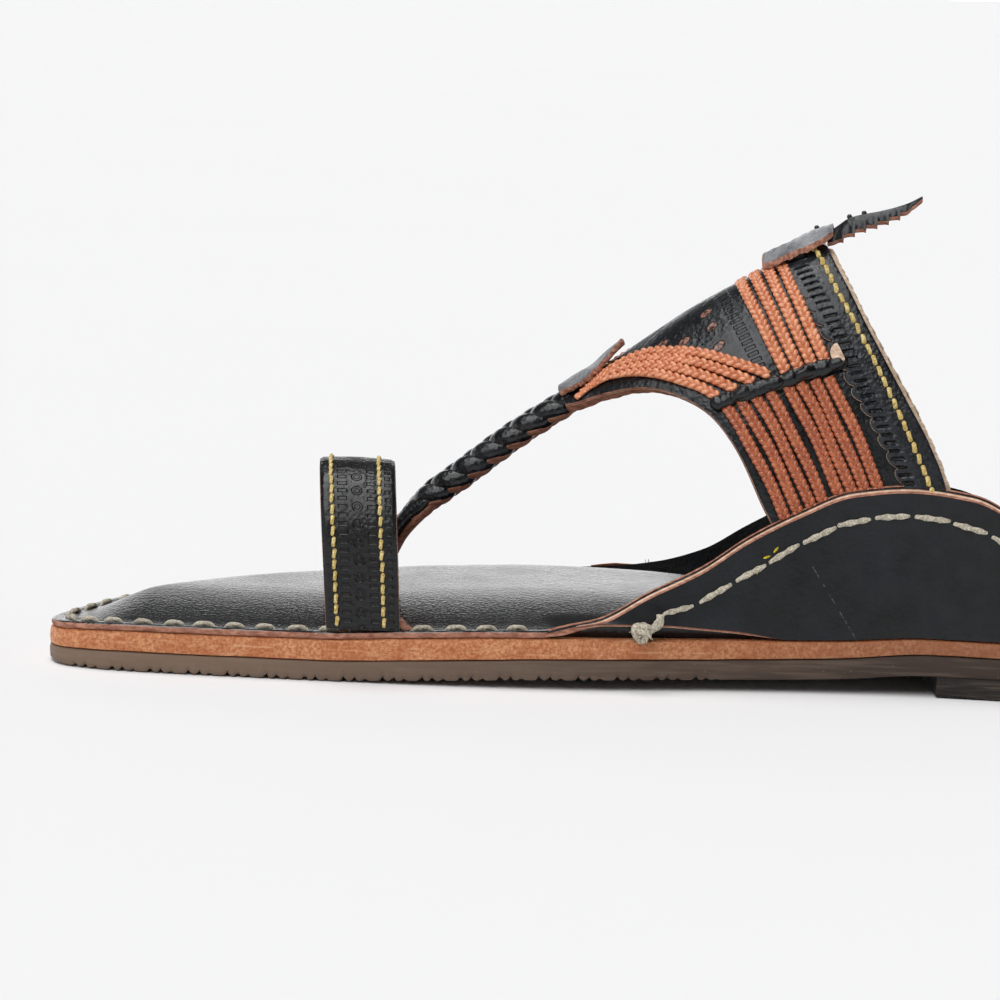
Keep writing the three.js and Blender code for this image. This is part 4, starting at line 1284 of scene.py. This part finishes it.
def make_plait():
    """The strap to the toe gap: plain at its foot, then plaited, with its flesh side below."""
    i = np.linspace(0, 7, 200)
    path = np.column_stack([plait_at["t"](i) - LENGTH / 2, plait_at["y"](i), plait_at["z"](i)])
    tangent = unit(np.gradient(path, axis=0))
    out = unit(np.cross(tangent, np.array([0, 1.0, 0])))
    out = out if out[-1, 2] > 0 else -out
    width, depth = plait_at["width"](i), plait_at["depth"](i)
    black, flesh, foot = Batch(), Batch(), Batch()
    upper = i > 2.7
    settle = smoothstep(i, 2.7, 3.5)
    black.braid((path + out * 0.45)[upper], out[upper], (width * (0.85 + 0.15 * settle))[upper],
                (depth * lerp(0.75, 1.02, settle))[upper], 16.2, (0.64, 0.76),
                phase=0.9, sides=18, steps=54)
    flesh.braid((path - out * 0.9)[upper], out[upper], (width * 0.9)[upper],
                (depth * lerp(0.5, 0.62, settle))[upper], 16.2, (0.6, 0.7),
                phase=1.2, sides=14, steps=44)
    lower = i < 3.9
    fade = 1 - 0.5 * smoothstep(i, 2.9, 3.9)
    crimp = 1 + 0.05 * np.sin(i * 9) * smoothstep(i, 0.5, 1.5)
    foot.tube((path + out * 0.5)[lower], out[lower], (width * fade)[lower],
              (depth * 0.7 * fade * crimp)[lower], 26, twist=0.5, ply=0.07)
    flesh.tube((path - out * 1.15)[lower], out[lower], (width * 0.94 * fade)[lower],
               (depth * 0.42 * fade)[lower], 22)
    black.piece("plait_strands", "plait", "black_leather")
    foot.piece("plait_foot", "plait", "black_leather")
    flesh.piece("plait_underside", "flesh", "black_leather")


RING_MEDIAL, RING_LATERAL, RING_FRONT = -48.8, -15.5, 61.9
RING_WIDTH, RING_WIDTH_GAIN, RING_LEAN = 15.8, 0.5, 2.7
RING_RISE, RING_TURN, RING_STRAIGHT, RING_THICKNESS = 34.9, 0.085, 17.7, 2.4


def ring_section():
    """The ring's outer line seen from the front, medial foot to lateral foot, with its walk."""
    centre, half = (RING_MEDIAL + RING_LATERAL) / 2, (RING_LATERAL - RING_MEDIAL) / 2
    low = float(insole_edge_top(RING_FRONT + RING_WIDTH)) + 0.05
    turn = np.linspace(0, np.pi, 160)
    leg = np.linspace(0, 1, 12, endpoint=False)
    spring = low + RING_STRAIGHT
    y = np.concatenate([-half + 0 * leg, -half * np.cos(turn), half + 0 * leg])
    arch = RING_RISE - RING_STRAIGHT
    z = np.concatenate([lerp(low, spring, leg), spring + arch * np.sin(turn),
                        lerp(low + INSOLE_CROWN, spring, leg)[::-1]])
    return centre + y, z, walked(np.column_stack([y, z]))


RING_Y, RING_Z, RING_WALK = ring_section()


def ring_line(at):
    """y and z of the ring's outer line at a distance along it."""
    return np.interp(at, RING_WALK, RING_Y), np.interp(at, RING_WALK, RING_Z)


def ring_point(share, across, inset):
    """A point of the ring: share of the way over, across from its toe side, inset inwards."""
    at = share * RING_WALK[-1]
    y, z = ring_line(at)
    (y_behind, z_behind), (y_ahead, z_ahead) = ring_line(at - 0.4), ring_line(at + 0.4)
    dy, dz = y_ahead - y_behind, z_ahead - z_behind
    size = np.hypot(dy, dz)
    y, z = y + inset * dz / size, z - inset * dy / size
    height = np.clip((z - RING_Z[0]) / RING_RISE, 0, 1)
    front = RING_FRONT - RING_LEAN * height - RING_TURN * (y - RING_MEDIAL)
    t = front + across * (RING_WIDTH + RING_WIDTH_GAIN * height)
    return points(t, y, z)


def make_ring():
    """The toe ring's band, and the two rows of yellow stitches over it."""
    share = np.linspace(0, 1, 230)[:, None]
    across = eased(40)[None, :]
    margin = window(across, 0, 0.05, 0.95, 1)
    groove = sum(0.16 * hill(across, line, 0.03) for line in RING_STITCH_LINES)
    puff = 0.35 * np.sin(np.pi * across)
    length = RING_WALK[-1]
    face = ring_point(share, across, 0.3 * (1 - margin) + groove - puff)
    back = ring_point(share, across, RING_THICKNESS)
    plan = np.stack(np.broadcast_arrays(share * length, across * RING_PLAN_WIDTH, 0.0), axis=-1)
    sheet("toe_ring_band", face, back, leather("ring"), plan, replaces=("toe_ring",))
    batch = Batch()
    for line in RING_STITCH_LINES:
        pitch = 2.42
        for k in range(int(length / pitch) - 1):
            begin = (0.8 + k * pitch + rng.uniform(-0.1, 0.1)) / length
            ends = np.array([begin, begin + 2.0 / length])
            place = line + rng.uniform(-0.006, 0.006, 2)
            at = ring_point(ends, place, -0.1)
            deep = ring_point(ends, place, 1.0)
            up = unit((at - deep).mean(axis=0))
            longer = np.array([0.15, 0, 0])
            batch.stitch(at[0] - longer, at[1] + longer, up, width=0.95, depth=0.8, sink=0.25)
    batch.piece("toe_ring_stitches", "gold", "gold_thread")


def make_ring_foot():
    """The end of the ring's leather where it passes down into the footbed."""
    i = np.linspace(0, 1, 12)[:, None]
    t = 77.6 + 2.6 * i
    y = np.linspace(-47.0, -43.5, 14)[None, :]
    z = insole_edge_top(t) + 0.1 + 2.4 * (1 - i) ** 1.4 + 0 * y
    grid = points(t, y, z)
    sheet("toe_ring_foot", grid, grid - [0.7, 0, 1.2], leather("brown_edge"))


def make_front_leaf():
    """The grey leaf over the join of the plait and the strap's neck."""
    lift, half = column(FRONT_LEAF, "lift"), column(FRONT_LEAF, "halfAngle")
    t = np.linspace(109.2, 123.4, 60)[:, None]
    across = np.linspace(-1, 1, 36)[None, :]
    ragged = 1 + 0.04 * np.sin(t * 3.1) + 0.03 * np.sin(t * 7.3)
    angle = half(t) * ragged * across
    curl = 0.5 * np.abs(across) ** 3 * smoothstep(t, 108, 114)
    under = 0.35 + lift(t) + curl * 0.6
    crinkle = 0.12 * np.sin(t * 0.9 + 3 * across)
    face = instep_point(t, angle, under + 1.25 + crinkle + 0.3 * (1 - across ** 2))
    back = instep_point(t, angle, under)
    sheet("front_leaf_leather", face, back, leather("grey"), bulge=0.3, replaces=("front_leaf",))


def make_top_leaf():
    """The leaf on the ridge, its toothed tail that stands on edge, and the beads on both."""
    at = {name: column(TOP_LEAF, name) for name in ("y", "z", "halfWidth", "drop")}
    t = np.linspace(152.4, 167.6, 240)[:, None]
    across = np.linspace(-1, 1, 30)[None, :]
    half = np.maximum(at["halfWidth"](t), 2.6) - 1.4 * smoothstep(t, 166.0, 167.6)
    ragged = np.abs(across) ** 6 * (0.16 * np.sin(t * 2.1) + 0.1 * np.sin(t * 5.7 + 1))
    reach = across * half + np.sign(across) * ragged
    near = np.maximum(-across, 0) ** 1.6 * 1.3
    crinkle = 0.12 * np.sin(t * 0.7 + 2.6 * across) + 0.05 * np.sin(t * 2.9 - 3 * across)
    y = at["y"](t) + reach
    z = at["z"](t) - 0.1 - at["drop"](t) * across ** 2 - near + crinkle
    rough = 0.14 * np.sin(t * 1.7 + across) + 0.1 * np.sin(t * 4.1) * np.sin(t * 0.9)
    back = points(t, y, z + rough * np.abs(across) ** 4)
    sheet("top_leaf_leather", points(t, y, z + 1.45), back, leather("grey"),
          bulge=0.25, replaces=("top_leaf",))
    tail = {name: column(LEAF_TAIL, name) for name in ("z", "halfWidth", "tilt")}
    t = np.linspace(166.6, 187, 460)[:, None]
    across = np.linspace(-1, 1, 22)[None, :]
    tooth = np.mod(t - 167.6, 2.45) / 2.45
    teeth = 1.15 * tooth ** 1.6 * window(t, 168, 170, 183.5, 185.0)
    reach = across * tail["halfWidth"](t) - teeth * smoothstep(-across, 0.1, 1)
    tilt = tail["tilt"](t)
    curl = 0.25 * (1 - across ** 2) + 0.1 * np.sin(t * 2.56 + 1) * smoothstep(-across, -0.4, 0.6)
    y = -4.6 + reach * np.cos(tilt) - curl * np.sin(tilt)
    z = tail["z"](t) + reach * np.sin(tilt) + curl * np.cos(tilt)
    back = points(t, y + 0.9 * np.sin(tilt), z - 1.5 * np.cos(tilt))
    sheet("leaf_tail", points(t, y, z), back, leather("black"), bulge=0.15)
    batch = Batch()
    for place, side_y, height in ((164.2, 1.6, 98.5), (171.2, -2.9, 101.5), (174.4, -2.9, 102.4)):
        centre = np.array([place - LENGTH / 2, side_y, height])
        f = np.linspace(-1, 1, 9)
        bulb = np.sqrt(np.maximum(1 - f ** 2, 0.02))
        batch.tube(centre + np.outer(f, [0.25, 0, 0.55]), (0, 1, 0), 1.25 * bulb, 1.0 * bulb, 10)
    batch.piece("leaf_beads", "bead", "bead")


# ---------------------------------------------------------------- build and stage

make_outsole()
make_heel()
make_midsole()
make_insole()
make_insole_stitches()
for edge_side in HAND:
    make_flap(edge_side)
    make_flap_stitches(edge_side)
    make_knot(edge_side)
make_strap()
make_border()
make_gold_stitches()
make_cords()
make_bars()
make_peeled_lobe()
make_flecks()
make_plait()
make_ring()
make_ring_foot()
make_front_leaf()
make_top_leaf()


def make_floor():
    """A plain pale floor that reaches past the top of the frame."""
    look = Look("studio_floor", roughness=0.9, specular=0.1)
    drift = look.noise(1.5, 2)
    colour = look.mix(drift, tone("f5f5f6"), tone("f7f7f8"))
    look.finish(colour)
    made = bmesh.new()
    bmesh.ops.create_circle(made, cap_ends=True, segments=96, radius=120)
    mesh = bpy.data.meshes.new("studio_floor")
    made.to_mesh(mesh)
    made.free()
    mesh.materials.append(look.material)
    floor = bpy.data.objects.new("studio_floor", mesh)
    floor.location.z = -0.0002
    bpy.context.scene.collection.objects.link(floor)


def make_world():
    """A soft dome, bright near the horizon behind the shoe, dim overhead and by the camera."""
    world = bpy.data.worlds.new("studio_light")
    world.use_nodes = True
    bpy.context.scene.world = world
    nodes, links = world.node_tree.nodes, world.node_tree.links
    place = nodes.new("ShaderNodeTexCoord")
    split = nodes.new("ShaderNodeSeparateXYZ")
    links.new(place.outputs["Generated"], split.inputs[0])

    def ranged(source, low, high, to_low, to_high):
        node = nodes.new("ShaderNodeMapRange")
        node.interpolation_type = "SMOOTHSTEP"
        links.new(source, node.inputs["Value"])
        for key, value in zip(("From Min", "From Max", "To Min", "To Max"),
                              (low, high, to_low, to_high)):
            node.inputs[key].default_value = value
        return node.outputs[0]

    height = ranged(split.outputs["Z"], 0.16, 0.38, 1.8, 0.12)
    behind = ranged(split.outputs["Y"], -0.8, 0.4, 0.25, 1.0)
    product = nodes.new("ShaderNodeMath")
    product.operation = "MULTIPLY"
    links.new(height, product.inputs[0])
    links.new(behind, product.inputs[1])
    background = nodes["Background"]
    background.inputs["Color"].default_value = (1, 1, 1, 1)
    links.new(product.outputs[0], background.inputs["Strength"])


def make_sun(name, toward, spread_degrees, strength):
    """A soft distant light that comes from the direction toward."""
    data = bpy.data.lights.new(name, "SUN")
    data.angle = math.radians(spread_degrees)
    data.energy = strength
    light = bpy.data.objects.new(name, data)
    light.rotation_euler = Vector(toward).to_track_quat("Z", "Y").to_euler()
    bpy.context.scene.collection.objects.link(light)


def make_camera():
    """A long lens, low on the medial side, rolled a little."""
    azimuth, elevation, roll = (math.radians(degrees) for degrees in (3.0, 7.5, 2.12))
    level = math.cos(elevation)
    back = Vector((math.sin(azimuth) * level, -math.cos(azimuth) * level, math.sin(elevation)))
    right = (-back).cross(Vector((0, 0, 1))).normalized()
    up = right.cross(-back)
    rolled_right = right * math.cos(roll) + up * math.sin(roll)
    rolled_up = up * math.cos(roll) - right * math.sin(roll)
    data = bpy.data.cameras.new("photo_camera")
    data.sensor_width = 36
    data.lens = 142.6
    data.clip_start, data.clip_end = 0.05, 400
    camera = bpy.data.objects.new("photo_camera", data)
    turn = Matrix((rolled_right, rolled_up, back)).transposed().to_4x4()
    stand = Matrix.Translation((0.00464, -0.88622, 0.15117))
    camera.matrix_world = stand @ turn
    bpy.context.scene.collection.objects.link(camera)
    bpy.context.scene.camera = camera


make_floor()
make_world()
make_sun("key_light", (-0.35, -0.75, 1.0), 50, 1.82)
make_sun("top_light", (-0.15, 0.1, 1.0), 35, 1.24)
make_camera()
bpy.context.scene.view_settings.view_transform = "Standard"

bpy.context.view_layer.update()
